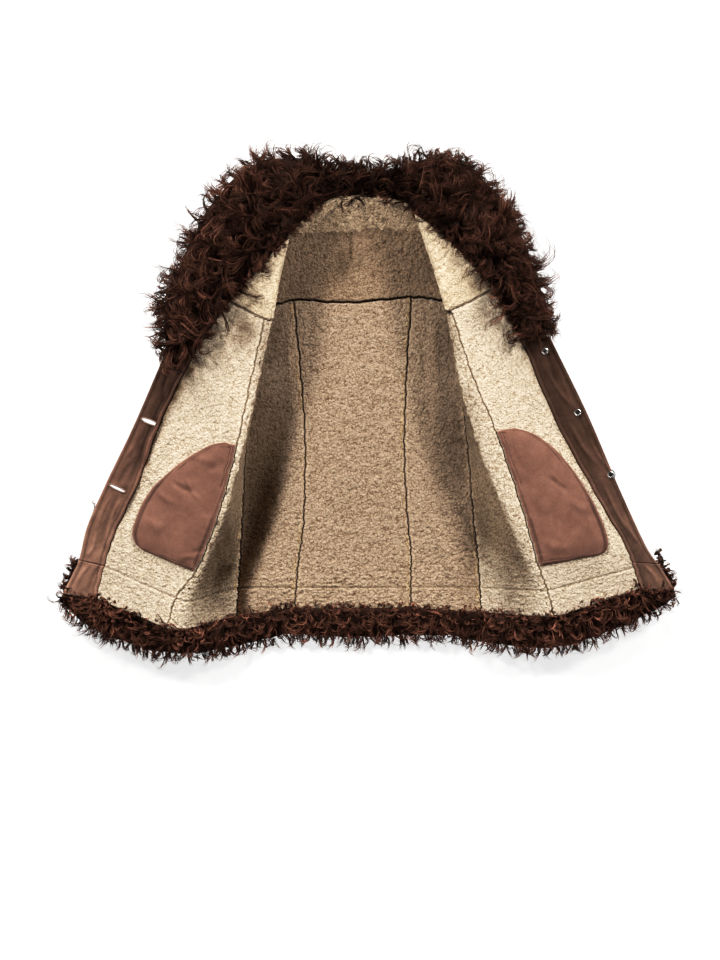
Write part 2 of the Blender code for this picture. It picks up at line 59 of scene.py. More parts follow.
LINES = {
    "front_edge_L": ((95.5, 104, 113, 138, 160, 193, 229), (599, 566, 537, 484, 424, 357, 302), (40, 44, 48, 53, 57, 60, 66)),
    "front_seam_L": ((167, 176, 196, 218, 238, 250, 265), (629, 598, 572, 519, 446, 389, 321), (55, 58, 62, 67, 73, 76, 78)),
    "crest_L": ((182, 187, 202, 225, 247, 261, 276), (631, 603, 572, 518, 442, 384, 322), (57, 60, 64, 70, 75, 78, 80)),
    "side_L": ((236, 237.5, 239, 241, 243, 247, 254), (618, 588, 562, 515, 455, 402, 310), (13, 13, 13, 14, 15, 16, 15)),
    "princess_L": ((294, 296, 298, 303.5, 305, 300, 293), (610, 588, 563, 520, 450, 372, 299), (8, 8, 8, 8, 8, 8, 9)),
    "princess_R": ((411, 411, 411.5, 407, 404.5, 407, 412), (610, 588, 560, 508, 445, 374, 296), (8, 8, 8, 8, 8, 8, 9)),
    "side_R": ((481.5, 480.5, 478, 474.5, 470, 465, 461), (614, 588, 552, 520, 452, 400, 302), (13, 13, 13, 14, 15, 16, 15)),
    "crest_R": ((546, 540, 530, 508, 476, 457, 443), (617, 590, 567, 518, 447, 385, 314), (57, 60, 64, 70, 75, 78, 80)),
    "front_seam_R": ((554, 547, 538, 523, 495, 472, 451), (618, 591, 566, 513, 431, 376, 312), (55, 58, 62, 67, 73, 76, 78)),
    "front_edge_R": ((641, 634, 627, 596, 556, 521, 494), (589, 568, 549, 495, 422, 341, 290), (40, 44, 48, 53, 57, 60, 66)),
}
NAMES = tuple(LINES)
EDGE_L, SEAM_L, CREST_L, SIDE_L, PRINC_L, PRINC_R, SIDE_R, CREST_R, SEAM_R, EDGE_R = range(10)
PLACKETS = {
    "L": dict(x=(62, 78.5, 86, 105, 133, 163), y=(594, 560, 530, 486, 428, 359), z=(36, 40, 44, 49, 53, 56),
              line=EDGE_L, end_at=1.0),
    "R": dict(x=(675, 662, 650, 622, 588, 549), y=(590, 569, 553, 495, 416, 336), z=(36, 40, 44, 49, 53, 56),
              line=EDGE_R, end_at=4 / 3),
}
ARMHOLE = dict(station=(0.0, 4.55, 4.8, 5.1, 5.5, 6.0), share=(1.0, 1.0, 0.80, 0.50, 0.36, 0.30))
BAG_OUTLINE = dict(station=(2.0, 2.05, 2.14, 2.3, 2.7, 3.0, 3.3, 3.6, 3.8, 3.93, 4.0),
                   L=(0.64, 0.715, 0.775, 0.83, 0.86, 0.83, 0.73, 0.57, 0.42, 0.29, 0.16),
                   R=(0.68, 0.755, 0.80, 0.845, 0.90, 0.915, 0.89, 0.81, 0.67, 0.49, 0.30))
YOKE_AT = (3.0, 4.0, 4.5, 5.0, 6.0)
YOKE_DIP = 4.0
YOKE = (dict(v=0.5, x=(258, 294, 352, 412, 456), y=(280, 261, 264, 257, 276), z=(13, 10, 9, 10, 13)),
        dict(v=1.0, x=(262, 298, 356, 415, 450), y=(250, 226.5, 223, 221.5, 248), z=(13, 13, 12, 13, 13)))
FRONT_YOKE = {
    "L": dict(at=(0.0, 1.0, 2.0, 2.3),
              rows=(dict(v=0.5, x=(253, 271, 281.5, 280), y=(274, 280, 283, 282), z=(70, 75, 77, 64)),
                    dict(v=1.0, x=(270, 281, 290.5, 289), y=(256, 247, 239, 240), z=(70, 75, 74, 54)))),
    "R": dict(at=(6.7, 7.0, 8.0, 9.0),
              rows=(dict(v=0.5, x=(433.5, 432, 446, 466), y=(271, 272, 266, 257), z=(64, 77, 75, 70)),
                    dict(v=1.0, x=(415, 413.5, 421, 435.5), y=(214.5, 215, 220, 229), z=(46, 68, 70, 70)))),
}
NECK_BAND = (
    dict(v=0.0, x=(297, 330, 356, 384, 423), y=(225.3, 221.6, 220.8, 218.7, 223.0), z=(14, 15, 15, 15, 14)),
    dict(v=0.5, x=(304, 333, 357, 384, 421), y=(219.5, 212, 211, 210.5, 217), z=(28, 31, 31, 31, 29)),
    dict(v=1.0, x=(312, 336, 358, 384, 418), y=(213.5, 203, 202, 202.5, 212), z=(36, 38, 38, 38, 34)))
# neck x, neck y, edge x, edge y, low mm, high mm
COLLAR = (
    (192, 354, 166, 356, 58, 80), (201, 341, 159, 333, 54, 94), (219, 314, 160, 300, 54, 99),
    (241, 286, 174, 265, 54, 101), (259, 265, 190, 232, 54, 101), (271, 252, 207, 203, 54, 100),
    (283, 239, 236, 171, 50, 97), (296, 224, 268, 154, 32, 90), (313, 210, 300, 152, 12, 80),
    (335, 201, 331, 163, 6, 66), (370, 200, 370, 165, 6, 62), (402, 201, 404, 159, 8, 66),
    (415, 210, 431, 153, 22, 80), (427, 221, 461, 155, 40, 92), (440, 230, 492, 182, 52, 98),
    (455, 243, 518, 213, 54, 100), (473, 262, 533, 250, 54, 100), (491.5, 284, 545, 289, 54, 98),
    (504.5, 308.5, 551, 315, 54, 94), (514, 326, 553, 327, 55, 90), (519, 334, 547, 331, 57, 80))
HEM_TRIM = {
    "hem_trim_L": (
        (62, 595.2, 57, 605, 22, 46), (79, 597.5, 71, 618, 18, 50), (96, 600.3, 89, 631, 18, 52),
        (130, 615.5, 123, 646, 24, 58), (166, 630, 161, 656, 28, 64), (183, 632.5, 186, 658, 30, 66),
        (208, 627, 212, 655, 16, 54), (235, 619.5, 238, 650, 2, 40)),
    "hem_trim_back": (
        (236.5, 619.5, 239.5, 650, 1, 39), (262, 615.5, 264, 644, 0, 33), (294, 611, 295, 639, 0, 31),
        (352, 611.5, 352, 642, 0, 31), (411, 611, 411, 640, 0, 31), (448, 613.3, 447, 640, 0, 33),
        (480, 615.2, 478, 646, 1, 39)),
    "hem_trim_R": (
        (481.5, 615.2, 479.5, 646, 2, 40), (514, 617, 512, 650, 16, 54), (546, 618.5, 548, 652, 30, 66),
        (555, 619, 559, 651, 30, 65), (598, 605.5, 605, 638, 24, 58), (641, 590.5, 648, 618, 18, 52),
        (658, 591, 663, 611, 18, 50), (675, 591.3, 678, 601, 22, 46)),
}
# centre x, y, heading x, y, flat width in grid steps, height mm
SLEEVES = {
    "L": ((249.0, 342, -0.997, -0.08, 132, 48), (222, 350, -0.95, 0.31, 124, 47), (203, 366, -0.75, 0.66, 102, 46),
          (197, 398, -0.47, 0.88, 74, 45), (188, 437, -0.40, 0.917, 68, 43), (170, 485, -0.40, 0.917, 70, 40),
          (151.5, 526, -0.40, 0.917, 74, 37), (143, 545, -0.40, 0.917, 76, 35)),
    "R": ((464.5, 342, 0.998, -0.06, 130, 48), (493, 350, 0.95, 0.31, 120, 47), (512, 365, 0.75, 0.66, 98, 46),
          (526, 398, 0.47, 0.88, 82, 45), (541, 440, 0.42, 0.907, 82, 43), (560, 484, 0.42, 0.907, 82, 40),
          (578, 522, 0.42, 0.907, 80, 37), (587, 541, 0.42, 0.907, 78, 35)),
}
CUFF_LENGTH, CUFF_GROW = 36.0, 8.0
BUTTONHOLES = ((177, 370, 2.6 * MM), (150, 421.5, 6.0 * MM), (117.5, 488, 4.0 * MM))
BUTTONS = ((544, 351), (577, 413), (612, 474))

# ================================================================ surface details
WOOL_STEP = 2.3 * MM      # grid of the pile
TUFT = {"front": 4.0 * MM, "side": 4.4 * MM, "back": 5.0 * MM, "yoke": 4.8 * MM}      # size of a wool tuft
# Soft folds in the skins: group, from x, y, to x, y on the grid, half width mm, height mm.
FOLDS = (
    ("yoke", 350, 234, 351, 270, 2.4, -2.4), ("yoke", 355, 234, 356, 264, 3.0, 1.6), ("yoke", 343, 258, 344, 282, 7, -1.0), ("yoke", 318, 240, 309, 284, 15, 0.9),
    ("yoke", 392, 240, 397, 282, 14, 0.9),
    ("back", 330, 470, 324, 600, 14, 2.2), ("back", 318, 400, 322, 500, 10, -1.6), ("back", 386, 520, 392, 608, 12, -1.8),
    ("back", 362, 330, 360, 430, 16, 1.6), ("back", 428, 515, 452, 575, 6, 2.0), ("back", 440, 510, 463, 560, 6, -1.8),
    ("back", 447, 560, 432, 606, 7, 1.8), ("back", 272, 520, 262, 600, 10, 2.4), ("back", 283, 470, 277, 560, 7, -1.6),
    ("back", 288, 330, 293, 420, 6, 1.6), ("back", 436, 320, 441, 400, 7, 1.8), ("back", 425, 345, 430, 430, 6, -1.5),
    ("side", 229, 500, 224, 600, 5, 2.8), ("side", 219, 540, 212, 622, 5, -2.2), ("side", 235, 470, 232, 560, 4, -1.8),
    ("side", 500, 545, 520, 610, 9, 2.4), ("side", 488, 520, 500, 600, 7, -2.0),
    ("front", 232, 392, 226, 438, 4, 2.2), ("front", 240, 396, 234, 440, 3.5, -1.8), ("front", 221, 400, 214, 440, 5, -1.6),
    ("front", 240, 330, 205, 400, 14, 2.5), ("front", 150, 560, 140, 606, 9, 2.4), ("front", 171, 575, 160, 622, 7, -2.2),
    ("front", 183, 576, 176, 612, 4, 2.0), ("front", 122, 545, 112, 600, 8, -1.8), ("front", 172, 430, 150, 480, 8, 2.0),
    ("front", 511, 340, 516, 392, 7, -2.2), ("front", 528, 380, 552, 430, 9, 2.0), ("front", 560, 566, 566, 612, 8, 2.0),
    ("front", 590, 556, 600, 600, 9, -2.0), ("front", 612, 545, 622, 590, 7, 1.8), ("front", 480, 330, 496, 372, 8, 1.8),
)
# Patches of painted shade on the wool, in the valleys, under the collar and along the yoke crease: panels, x, y, radius
# x, radius y on the grid, strength.
PAINTED_SHADE_PATCHES = (
    ("front", 243, 331, 19, 22, 0.62), ("front", 130, 575, 40, 30, 0.10), ("front", 590, 580, 50, 25, 0.13), ("front", 216, 352, 22, 24, 0.34), ("front", 206, 395, 22, 26, 0.12), ("front", 489, 318, 15, 17, 0.36), ("front", 252, 296, 12, 14, 0.30),
    ("front", 474, 280, 10, 16, 0.32), ("yoke", 345, 229, 60, 7, 0.30), ("yoke", 296, 284, 16, 22, 0.20), ("yoke", 424, 262, 16, 34, 0.25),
    ("yoke", 343, 268, 7, 13, 0.42), ("yoke", 350.5, 250, 1.6, 15, 0.55), ("back side", 272, 340, 22, 50, 0.45), ("side", 227, 560, 12, 44, 0.68),
    ("side", 222, 570, 22, 60, 0.62), ("back", 236, 600, 16, 40, 0.45), ("back side", 448, 340, 18, 46, 0.42), ("back side", 455, 440, 24, 60, 0.50),
    ("back side", 474, 540, 18, 50, 0.50), ("side", 512, 575, 18, 40, 0.40),
)
# Edge of the deep shade in the left valley: grid y, grid x.
VALLEY_SHADE = ((300, 340, 380, 420, 460, 500, 540, 592), (301, 301, 300, 296, 290, 282, 271, 251))
# Creases of the plackets: side, from x, y, to x, y, half width mm, height mm.
PLACKET_FOLDS = (
    ("L", 172, 372, 160, 412, 5, 1.8), ("L", 186, 366, 168, 398, 5, -2.2), ("L", 150, 421, 160, 400, 5, -1.8), ("L", 150, 421, 158, 424, 6, -2.2),
    ("L", 152, 432, 146, 462, 5, 2.2), ("L", 139, 430, 128, 456, 5, 1.4), ("L", 146, 430, 134, 474, 4, -1.8), ("L", 118, 487, 134, 462, 5, -1.6),
    ("L", 118, 488, 128, 490, 5, -2.0), ("L", 122, 498, 108, 532, 5, 2.0), ("L", 110, 498, 98, 528, 4, 1.4), ("L", 116, 500, 101, 546, 4, -1.8),
    ("L", 96, 535, 88, 556, 5, 1.6), ("L", 88, 566, 74, 590, 6, 1.5), ("L", 98, 568, 88, 596, 5, -1.6),
    ("R", 545, 352, 556, 384, 5, -1.6), ("R", 548, 372, 572, 408, 5, 2.0), ("R", 560, 372, 577, 412, 4, 1.6), ("R", 577, 414, 590, 446, 5, -2.0),
    ("R", 572, 428, 594, 462, 5, 1.8), ("R", 586, 434, 611, 472, 4, 1.5), ("R", 612, 475, 626, 510, 5, -1.7), ("R", 606, 490, 628, 532, 5, 1.8),
    ("R", 624, 516, 640, 546, 4, 1.4), ("R", 645, 566, 660, 588, 6, 1.6), ("R", 640, 570, 646, 588, 5, -1.4),
)
# Creases of the pocket bags: side, from x, y, to x, y, half width mm, height mm.
BAG_FOLDS = (
    ("L", 174, 482, 194, 492, 4, -1.6), ("L", 188, 480, 200, 500, 3, 1.2), ("L", 160, 492, 176, 503, 5, 1.4), ("L", 196, 552, 205, 545, 4, -2.0),
    ("L", 196, 556, 180, 560, 4, 1.4), ("L", 150, 520, 165, 530, 8, 1.2), ("L", 210, 470, 222, 460, 6, -1.0), ("L", 186, 452, 214, 462, 6, 1.2),
    ("R", 547, 478, 566, 492, 4, -1.6), ("R", 552, 474, 563, 486, 3, 1.3), ("R", 570, 500, 588, 512, 6, 1.3), ("R", 512, 446, 522, 470, 5, -1.2),
    ("R", 540, 540, 560, 548, 7, 1.2), ("R", 590, 520, 598, 545, 5, 1.0), ("R", 530, 500, 545, 520, 7, -1.0),
)


# ================================================================ mathematics
def pchip(xs, ys, q):
    xs, ys, q = np.asarray(xs, float), np.asarray(ys, float), np.asarray(q, float)
    flat = ys.ndim == 1
    ys = ys[:, None] if flat else ys
    h = np.diff(xs)
    d = np.diff(ys, axis=0) / h[:, None]
    m = np.zeros_like(ys)
    if len(xs) == 2:
        m[:] = d[0]
    else:
        w1, w2 = (2 * h[1:] + h[:-1])[:, None], (h[1:] + 2 * h[:-1])[:, None]
        same = d[:-1] * d[1:] > 0
        safe0, safe1 = np.where(same, d[:-1], 1.0), np.where(same, d[1:], 1.0)
        m[1:-1] = np.where(same, (w1 + w2) / (w1 / safe0 + w2 / safe1), 0.0)
        m[0], m[-1] = d[0], d[-1]
    i = np.clip(np.searchsorted(xs, q, side="right") - 1, 0, len(h) - 1)
    u = ((q - xs[i]) / h[i])[:, None]
    hi = h[i][:, None]
    out = (ys[i] * (1 + 2 * u) * (1 - u) ** 2 + ys[i + 1] * u * u * (3 - 2 * u)
           + hi * m[i] * u * (1 - u) ** 2 + hi * m[i + 1] * u * u * (u - 1))
    return out[:, 0] if flat else out


def place(x, y, z_mm):
    x, y, z = np.broadcast_arrays(np.asarray(x, float), np.asarray(y, float), np.asarray(z_mm, float))
    return np.stack([(x - ORIGIN[0]) * UNIT, (ORIGIN[1] - y) * UNIT, z * MM], axis=-1)


def grid_xy(p):
    """Points in metres to the drawing grid."""
    return p[..., 0] / UNIT + ORIGIN[0], ORIGIN[1] - p[..., 1] / UNIT


def unit(v):
    return v / np.maximum(np.linalg.norm(v, axis=-1, keepdims=True), 1e-12)


def smooth(a, b, x):
    x = np.clip((x - a) / (b - a), 0, 1)
    return x * x * (3 - 2 * x)


STATION_T = np.arange(7.0)
LINE_TABLE = np.stack([place(*LINES[n]) for n in NAMES], axis=1).reshape(7, -1)


def sections(t):
    return pchip(STATION_T, LINE_TABLE, t).reshape(len(t), len(NAMES), 3)


def rounded(points, index):
    d = np.diff(points, axis=1)
    length = np.linalg.norm(d, axis=2)
    slope = d / length[..., None]
    c = np.concatenate([np.zeros((len(points), 1)), np.cumsum(length, axis=1)], axis=1)
    i = np.clip(np.floor(index).astype(int), 0, length.shape[1] - 1)
    row = np.arange(len(points))
    at = c[row, i] + (index - i) * length[row, i]
    out = points[:, 0] + slope[:, 0] * at[:, None]
    for j in range(1, length.shape[1]):
        out = out + (slope[:, j] - slope[:, j - 1]) * (BEND * np.logaddexp(0, (at - c[:, j]) / BEND))[:, None]
    return out


def waver(at, line):
    """Uneven run of a hand-fed seam, -1 to 1, along its length."""
    out = np.zeros(len(at))
    for k, (beat, share) in enumerate(((2.1, 0.34), (4.7, 0.30), (9.3, 0.22), (17.9, 0.14))):
        slow = np.where((np.asarray(line) == EDGE_L) | (np.asarray(line) == EDGE_R), 1.0 if k == 0 else 0.0, 1.0)
        out += slow * share * np.sin(beat * 2 * np.pi * at + 1.7 * line + 2.3 * k + 0.9 * np.sin(3.1 * at + line))
    return out


def body(s, t):
    p = rounded(sections(t), s)
    p[:, 1] -= YOKE_DIP * UNIT * np.sin(np.pi * np.clip(s - PRINC_L, 0, 1)) * np.clip(t - 5, 0, 1) ** 2
    line = np.round(s)
    p[:, 0] += SEAM_WAVER * waver(t, line) * np.exp(-((s - line) / 0.07) ** 2)
    p[:, 1] += SEAM_WAVER * waver(0.8 * s, 31.0) * np.exp(-((t - 6.0) / 0.05) ** 2)
    return p


def body_normal(s, t, eps=0.01):
    return unit(np.cross(body(s + eps, t) - body(s - eps, t), body(s, t + eps) - body(s, t - eps)))


def wall_at(s):
    return np.interp(s, (0, 3.0, 3.5, 5.5, 6.0, 9), (SKIN, SKIN, BACK_SKIN, BACK_SKIN, SKIN, SKIN))


def hashed(ix, iy, iz, seed):
    h = (ix * 374761393 + iy * 668265263 + iz * 1442695041 + seed * 974634533) & 0xFFFFFFFF
    h = ((h ^ (h >> 13)) * 1274126177) & 0xFFFFFFFF
    h = ((h ^ (h >> 15)) * 668265263) & 0xFFFFFFFF
    return ((h ^ (h >> 16)) & 0xFFFFFF) / 0xFFFFFF


def noise(p, scale, seed=0):
    """Smooth value noise, -1 to 1."""
    q = p / scale
    i = np.floor(q).astype(np.int64)
    f = q - i
    f = f * f * (3 - 2 * f)
    out = np.zeros(len(p))
    for dx in (0, 1):
        for dy in (0, 1):
            for dz in (0, 1):
                w = ((f[:, 0] if dx else 1 - f[:, 0]) * (f[:, 1] if dy else 1 - f[:, 1]) * (f[:, 2] if dz else 1 - f[:, 2]))
                out += w * hashed(i[:, 0] + dx, i[:, 1] + dy, i[:, 2] + dz, seed)
    return out * 2 - 1


def cells(p, scale, seed=0):
    """Distance to the nearest of scattered points, in cell sizes, and that point's own number."""
    q = p / scale
    i = np.floor(q).astype(np.int64)
    best = np.full(len(p), 9.0)
    second = np.full(len(p), 9.0)
    label = np.zeros(len(p))
    for dx in (-1, 0, 1):
        for dy in (-1, 0, 1):
            for dz in (-1, 0, 1):
                c = i + np.array([dx, dy, dz])
                d = np.sqrt(sum((c[:, k] + hashed(c[:, 0], c[:, 1], c[:, 2], seed + k) - q[:, k]) ** 2 for k in range(3)))
                near = d < best
                second = np.where(near, best, np.minimum(second, d))
                label = np.where(near, hashed(c[:, 0], c[:, 1], c[:, 2], seed + 7), label)
                best = np.where(near, d, best)
    return best, second, label


def folds(p, table, group):
    """Height of the soft folds of one group at points p."""
    x, y = grid_xy(p)
    out = np.zeros(len(p))
    for name, x0, y0, x1, y1, half, height in table:
        if name != group:
            continue
        dx, dy = x1 - x0, y1 - y0
        long = math.hypot(dx, dy)
        a = ((x - x0) * dx + (y - y0) * dy) / long
        b = ((x - x0) * dy - (y - y0) * dx) / long * UNIT / MM
        bow = 2.5 * np.sin(np.pi * np.clip(a / long, 0, 1)) * (1 if int(x0 + y0) % 2 else -1)
        w = half * (0.75 + 0.5 * np.clip(a / long, 0, 1))
        ends = smooth(-0.25, 0.3, a / long) * (1 - smooth(0.7, 1.25, a / long))
        out += height * MM * np.exp(-((b - bow) / w) ** 2) * ends
    return out


# ================================================================ meshes and materials
def mesh_object(name, verts, quads=(), tris=(), colours=None, floats=None, flat=False):
    """Mesh from arrays, with a colour and float values for each point."""
    verts = np.asarray(verts, np.float32).reshape(-1, 3)
    quads = np.asarray(quads, np.int32).reshape(-1, 4)
    tris = np.asarray(tris, np.int32).reshape(-1, 3)
    me = bpy.data.meshes.new(name)
    me.vertices.add(len(verts))
    me.vertices.foreach_set("co", verts.ravel())
    loops = np.concatenate([quads.ravel(), tris.ravel()])
    me.loops.add(len(loops))
    me.loops.foreach_set("vertex_index", loops)
    me.polygons.add(len(quads) + len(tris))
    starts = np.concatenate([np.arange(len(quads)) * 4, len(quads) * 4 + np.arange(len(tris)) * 3]).astype(np.int32)
    me.polygons.foreach_set("loop_start", starts)
    me.update(calc_edges=True)
    me.validate()
    if not flat:
        me.shade_smooth()
    if colours is not None:
        a = me.color_attributes.new("tint", "FLOAT_COLOR", "POINT")
        rgba = np.ones((len(verts), 4), np.float32)
        rgba[:, :3] = colours
        a.data.foreach_set("color", rgba.ravel())
    for key, values in (floats or {}).items():
        a = me.attributes.new(key, "FLOAT", "POINT")
        a.data.foreach_set("value", np.asarray(values, np.float32))
    o = bpy.data.objects.new(name, me)
    scene.collection.objects.link(o)
    return o


def grid_quads(rows, cols, base=0, flip=False, wrap=False):
    """Quads of a rows by cols grid of points."""
    r = np.arange(rows - 1)[:, None]
    c = np.arange(cols if wrap else cols - 1)[None]
    a, b = r * cols + c, r * cols + (c + 1) % cols
    q = np.stack([a, b, b + cols, a + cols], axis=-1).reshape(-1, 4) + base
    return q[:, ::-1] if flip else q


def rim_quads(rows, cols, top, under):
    """Walls between the border of two grids of the same size."""
    ring = np.concatenate([np.arange(cols), np.arange(1, rows) * cols + cols - 1,
                           (rows - 1) * cols + np.arange(cols - 2, -1, -1), np.arange(rows - 2, 0, -1) * cols])
    nxt = np.roll(ring, -1)
    return np.stack([ring + under, nxt + under, nxt + top, ring + top], axis=-1)


class Nodes:
    """Small helper for a Principled material."""

    def __init__(self, name, colour, rough, metal=0.0, sheen=0.0, sheen_rough=0.5, sheen_tint=(1, 1, 1), spec=0.5):
        self.m = bpy.data.materials.new(name)
        self.m.use_nodes = True
        self.t = self.m.node_tree
        self.b = self.t.nodes["Principled BSDF"]
        self.b.inputs["Base Color"].default_value = (*colour, 1)
        self.b.inputs["Roughness"].default_value = rough
        self.b.inputs["Metallic"].default_value = metal
        self.b.inputs["Specular IOR Level"].default_value = spec
        self.b.inputs["Sheen Weight"].default_value = sheen
        self.b.inputs["Sheen Roughness"].default_value = sheen_rough
        self.b.inputs["Sheen Tint"].default_value = (*sheen_tint, 1)
        self.where = self.t.nodes.new("ShaderNodeTexCoord").outputs["Object"]
        self.m.diffuse_color = (*colour, 1)

    def new(self, kind, **values):
        n = self.t.nodes.new(kind)
        for k, v in values.items():
            setattr(n, k, v)
        return n

    def link(self, a, b):
        self.t.links.new(a, b)

    def noise(self, scale, detail=2.0, rough=0.5, distortion=0.0):
        n = self.new("ShaderNodeTexNoise")
        self.link(self.where, n.inputs["Vector"])
        for key, v in (("Scale", scale), ("Detail", detail), ("Roughness", rough), ("Distortion", distortion)):
            n.inputs[key].default_value = v
        return n.outputs["Fac"]

    def ramp(self, fac, *stops):
        n = self.new("ShaderNodeValToRGB")
        e = n.color_ramp.elements
        while len(e) < len(stops):
            e.new(0.5)
        for slot, (pos, col) in zip(e, stops):
            slot.position = pos
            slot.color = (*col, 1) if len(col) == 3 else col
        self.link(fac, n.inputs["Fac"])
        return n.outputs["Color"]

    def mix(self, a, b, fac, mode="MIX"):
        n = self.new("ShaderNodeMix", data_type="RGBA", blend_type=mode)
        for sock, v in ((n.inputs[0], fac), (n.inputs[6], a), (n.inputs[7], b)):
            if isinstance(v, (int, float)):
                sock.default_value = v
            elif isinstance(v, tuple):
                sock.default_value = (*v, 1)
            else:
                self.link(v, sock)
        return n.outputs[2]

    def attribute(self, name, out="Color"):
        return self.new("ShaderNodeAttribute", attribute_name=name).outputs[out]

    def bump(self, height, strength, distance, normal=None):
        n = self.new("ShaderNodeBump")
        n.inputs["Strength"].default_value = strength
        n.inputs["Distance"].default_value = distance
        self.link(height, n.inputs["Height"])
        if normal is not None:
            self.link(normal, n.inputs["Normal"])
        return n.outputs["Normal"]

    def done(self, colour=None, normal=None, rough=None):
        for v, key in ((colour, "Base Color"), (normal, "Normal"), (rough, "Roughness")):
            if v is not None:
                self.link(v, self.b.inputs[key])
        return self.m


def wool_material(name, size, deep=1.0):
    """Clipped curly wool: pebbled tufts with painted shade in the crevices; size is the tuft in metres, deep how dark
    that painted crevice shade is.
    """
    n = Nodes(name, (0.72, 0.56, 0.36), 1.0, sheen=0.22, sheen_rough=0.6, sheen_tint=(1, 0.93, 0.82), spec=0.08)
    n.link(n.ramp(n.attribute("tint"), (0.0, (0.0, 0.0, 0.0)), (0.60, (0.22, 0.22, 0.22))), n.b.inputs["Sheen Weight"])      # the sheen fades where the tint is painted dark, so the painted shade stays deep
    stir = n.new("ShaderNodeTexNoise")
    n.link(n.where, stir.inputs["Vector"])
    stir.inputs["Scale"].default_value, stir.inputs["Detail"].default_value = 0.5 / size, 2.0
    moved = n.new("ShaderNodeVectorMath", operation="MULTIPLY_ADD")
    n.link(stir.outputs["Color"], moved.inputs[0])
    moved.inputs[1].default_value = (2.1 * size, 2.1 * size, 2.1 * size)
    n.link(n.where, moved.inputs[2])
    tufts, gaps = n.new("ShaderNodeTexVoronoi"), n.new("ShaderNodeTexVoronoi", feature="DISTANCE_TO_EDGE")
    for v in (tufts, gaps):
        n.link(moved.outputs[0], v.inputs["Vector"])
        v.inputs["Scale"].default_value = 1.0 / size
        v.inputs["Randomness"].default_value = 0.95
    fibre, curl = n.noise(700, 3, 0.65, 0.6), n.noise(0.62 / size, 3, 0.6, 1.0)
    pale = lambda *c: tuple(1 - deep * (1 - v) for v in c)
    # painted shade in the crevices between the tufts and on the rounded sides of each tuft
    crevice = n.ramp(gaps.outputs["Distance"], (0.0, pale(0.36, 0.30, 0.25)), (0.055, pale(0.70, 0.65, 0.60)), (0.16, (1, 1, 1)))
    dome = n.ramp(tufts.outputs["Distance"], (0.35, (1, 1, 1)), (0.95, (0.62, 0.57, 0.52)))
    col = n.mix(n.attribute("tint"), crevice, n.ramp(curl, (0.42, (0.95, 0.95, 0.95)), (0.60, (0.25, 0.25, 0.25))), "MULTIPLY")
    col = n.mix(col, dome, 0.55, "MULTIPLY")
    col = n.mix(col, n.ramp(curl, (0.34, (0.70, 0.65, 0.59)), (0.52, (1, 1, 1))), 0.55, "MULTIPLY")
    col = n.mix(col, n.ramp(fibre, (0.30, (0.76, 0.74, 0.71)), (0.62, (1, 1, 1))), 0.7, "MULTIPLY")
    round_up = n.ramp(tufts.outputs["Distance"], (0.0, (1, 1, 1)), (0.5, (0.72, 0.72, 0.72)), (0.95, (0, 0, 0)))
    return n.done(col, n.bump(fibre, 0.6, 0.0009, n.bump(curl, 0.5, 0.0016, n.bump(round_up, 0.85, 0.42 * size))))


def suede_material(name, dark, light, tint=False):
    n = Nodes(name, dark, 0.95, sheen=0.12, sheen_rough=0.5, sheen_tint=(0.75, 0.5, 0.4), spec=0.08)
    patch, streak, nap = n.noise(38, 4, 0.6, 0.4), n.noise(130, 3, 0.6, 0.8), n.noise(1500, 2, 0.6)
    col = n.mix(dark, light, n.ramp(patch, (0.30, (0.2, 0.2, 0.2)), (0.72, (0.85, 0.85, 0.85))))
    col = n.mix(col, n.ramp(streak, (0.34, (0.76, 0.74, 0.72)), (0.62, (1.0, 1.0, 1.0))), 0.7, "MULTIPLY")
    col = n.mix(col, n.ramp(nap, (0.3, (0.78, 0.78, 0.78)), (0.7, (1, 1, 1))), 0.8, "MULTIPLY")
    if tint:
        col = n.mix(col, n.attribute("tint"), 1.0, "MULTIPLY")
    return n.done(col, n.bump(nap, 0.35, 0.0004, n.bump(streak, 0.35, 0.0009)))


def cotton_material():
    n = Nodes("cotton_twill", (0.24, 0.10, 0.075), 0.92, sheen=0.10, sheen_rough=0.5, sheen_tint=(1, 0.75, 0.68), spec=0.1)
    wave = n.new("ShaderNodeTexWave", wave_type="BANDS", bands_direction="DIAGONAL")
    n.link(n.where, wave.inputs["Vector"])
    wave.inputs["Scale"].default_value = 430
    wave.inputs["Distortion"].default_value = 0.6
    patch, slub = n.noise(55, 4, 0.62, 0.5), n.noise(420, 2, 0.5, 0.3)
    col = n.mix((0.222, 0.119, 0.087), (0.262, 0.145, 0.108), n.ramp(patch, (0.34, (0, 0, 0)), (0.68, (1, 1, 1))))
    col = n.mix(col, n.ramp(slub, (0.3, (0.78, 0.76, 0.75)), (0.65, (1, 1, 1))), 0.7, "MULTIPLY")
    col = n.mix(col, n.attribute("tint"), 1.0, "MULTIPLY")
    return n.done(col, n.bump(wave.outputs["Fac"], 0.25, 0.0003, n.bump(patch, 0.2, 0.002)))


def fur_material():
    n = Nodes("curly_fur", (0.05, 0.02, 0.013), 0.5, spec=0.22)
    n.b.inputs["Specular Tint"].default_value = (0.95, 0.55, 0.40, 1)
    vary = n.noise(90, 3, 0.6)
    col = n.mix(n.attribute("tint"), n.ramp(vary, (0.32, (0.6, 0.55, 0.52)), (0.66, (1.25, 1.15, 1.1))), 0.8, "MULTIPLY")
    return n.done(col)


def thread_material(name, colour):
    n = Nodes(name, colour, 0.75, sheen=0.2, spec=0.25)
    twist = n.noise(2600, 2, 0.5)
    return n.done(n.mix(colour, tuple(0.62 * c for c in colour), n.ramp(twist, (0.38, (0, 0, 0)), (0.62, (1, 1, 1)))),
                  n.bump(twist, 0.4, 0.0002))


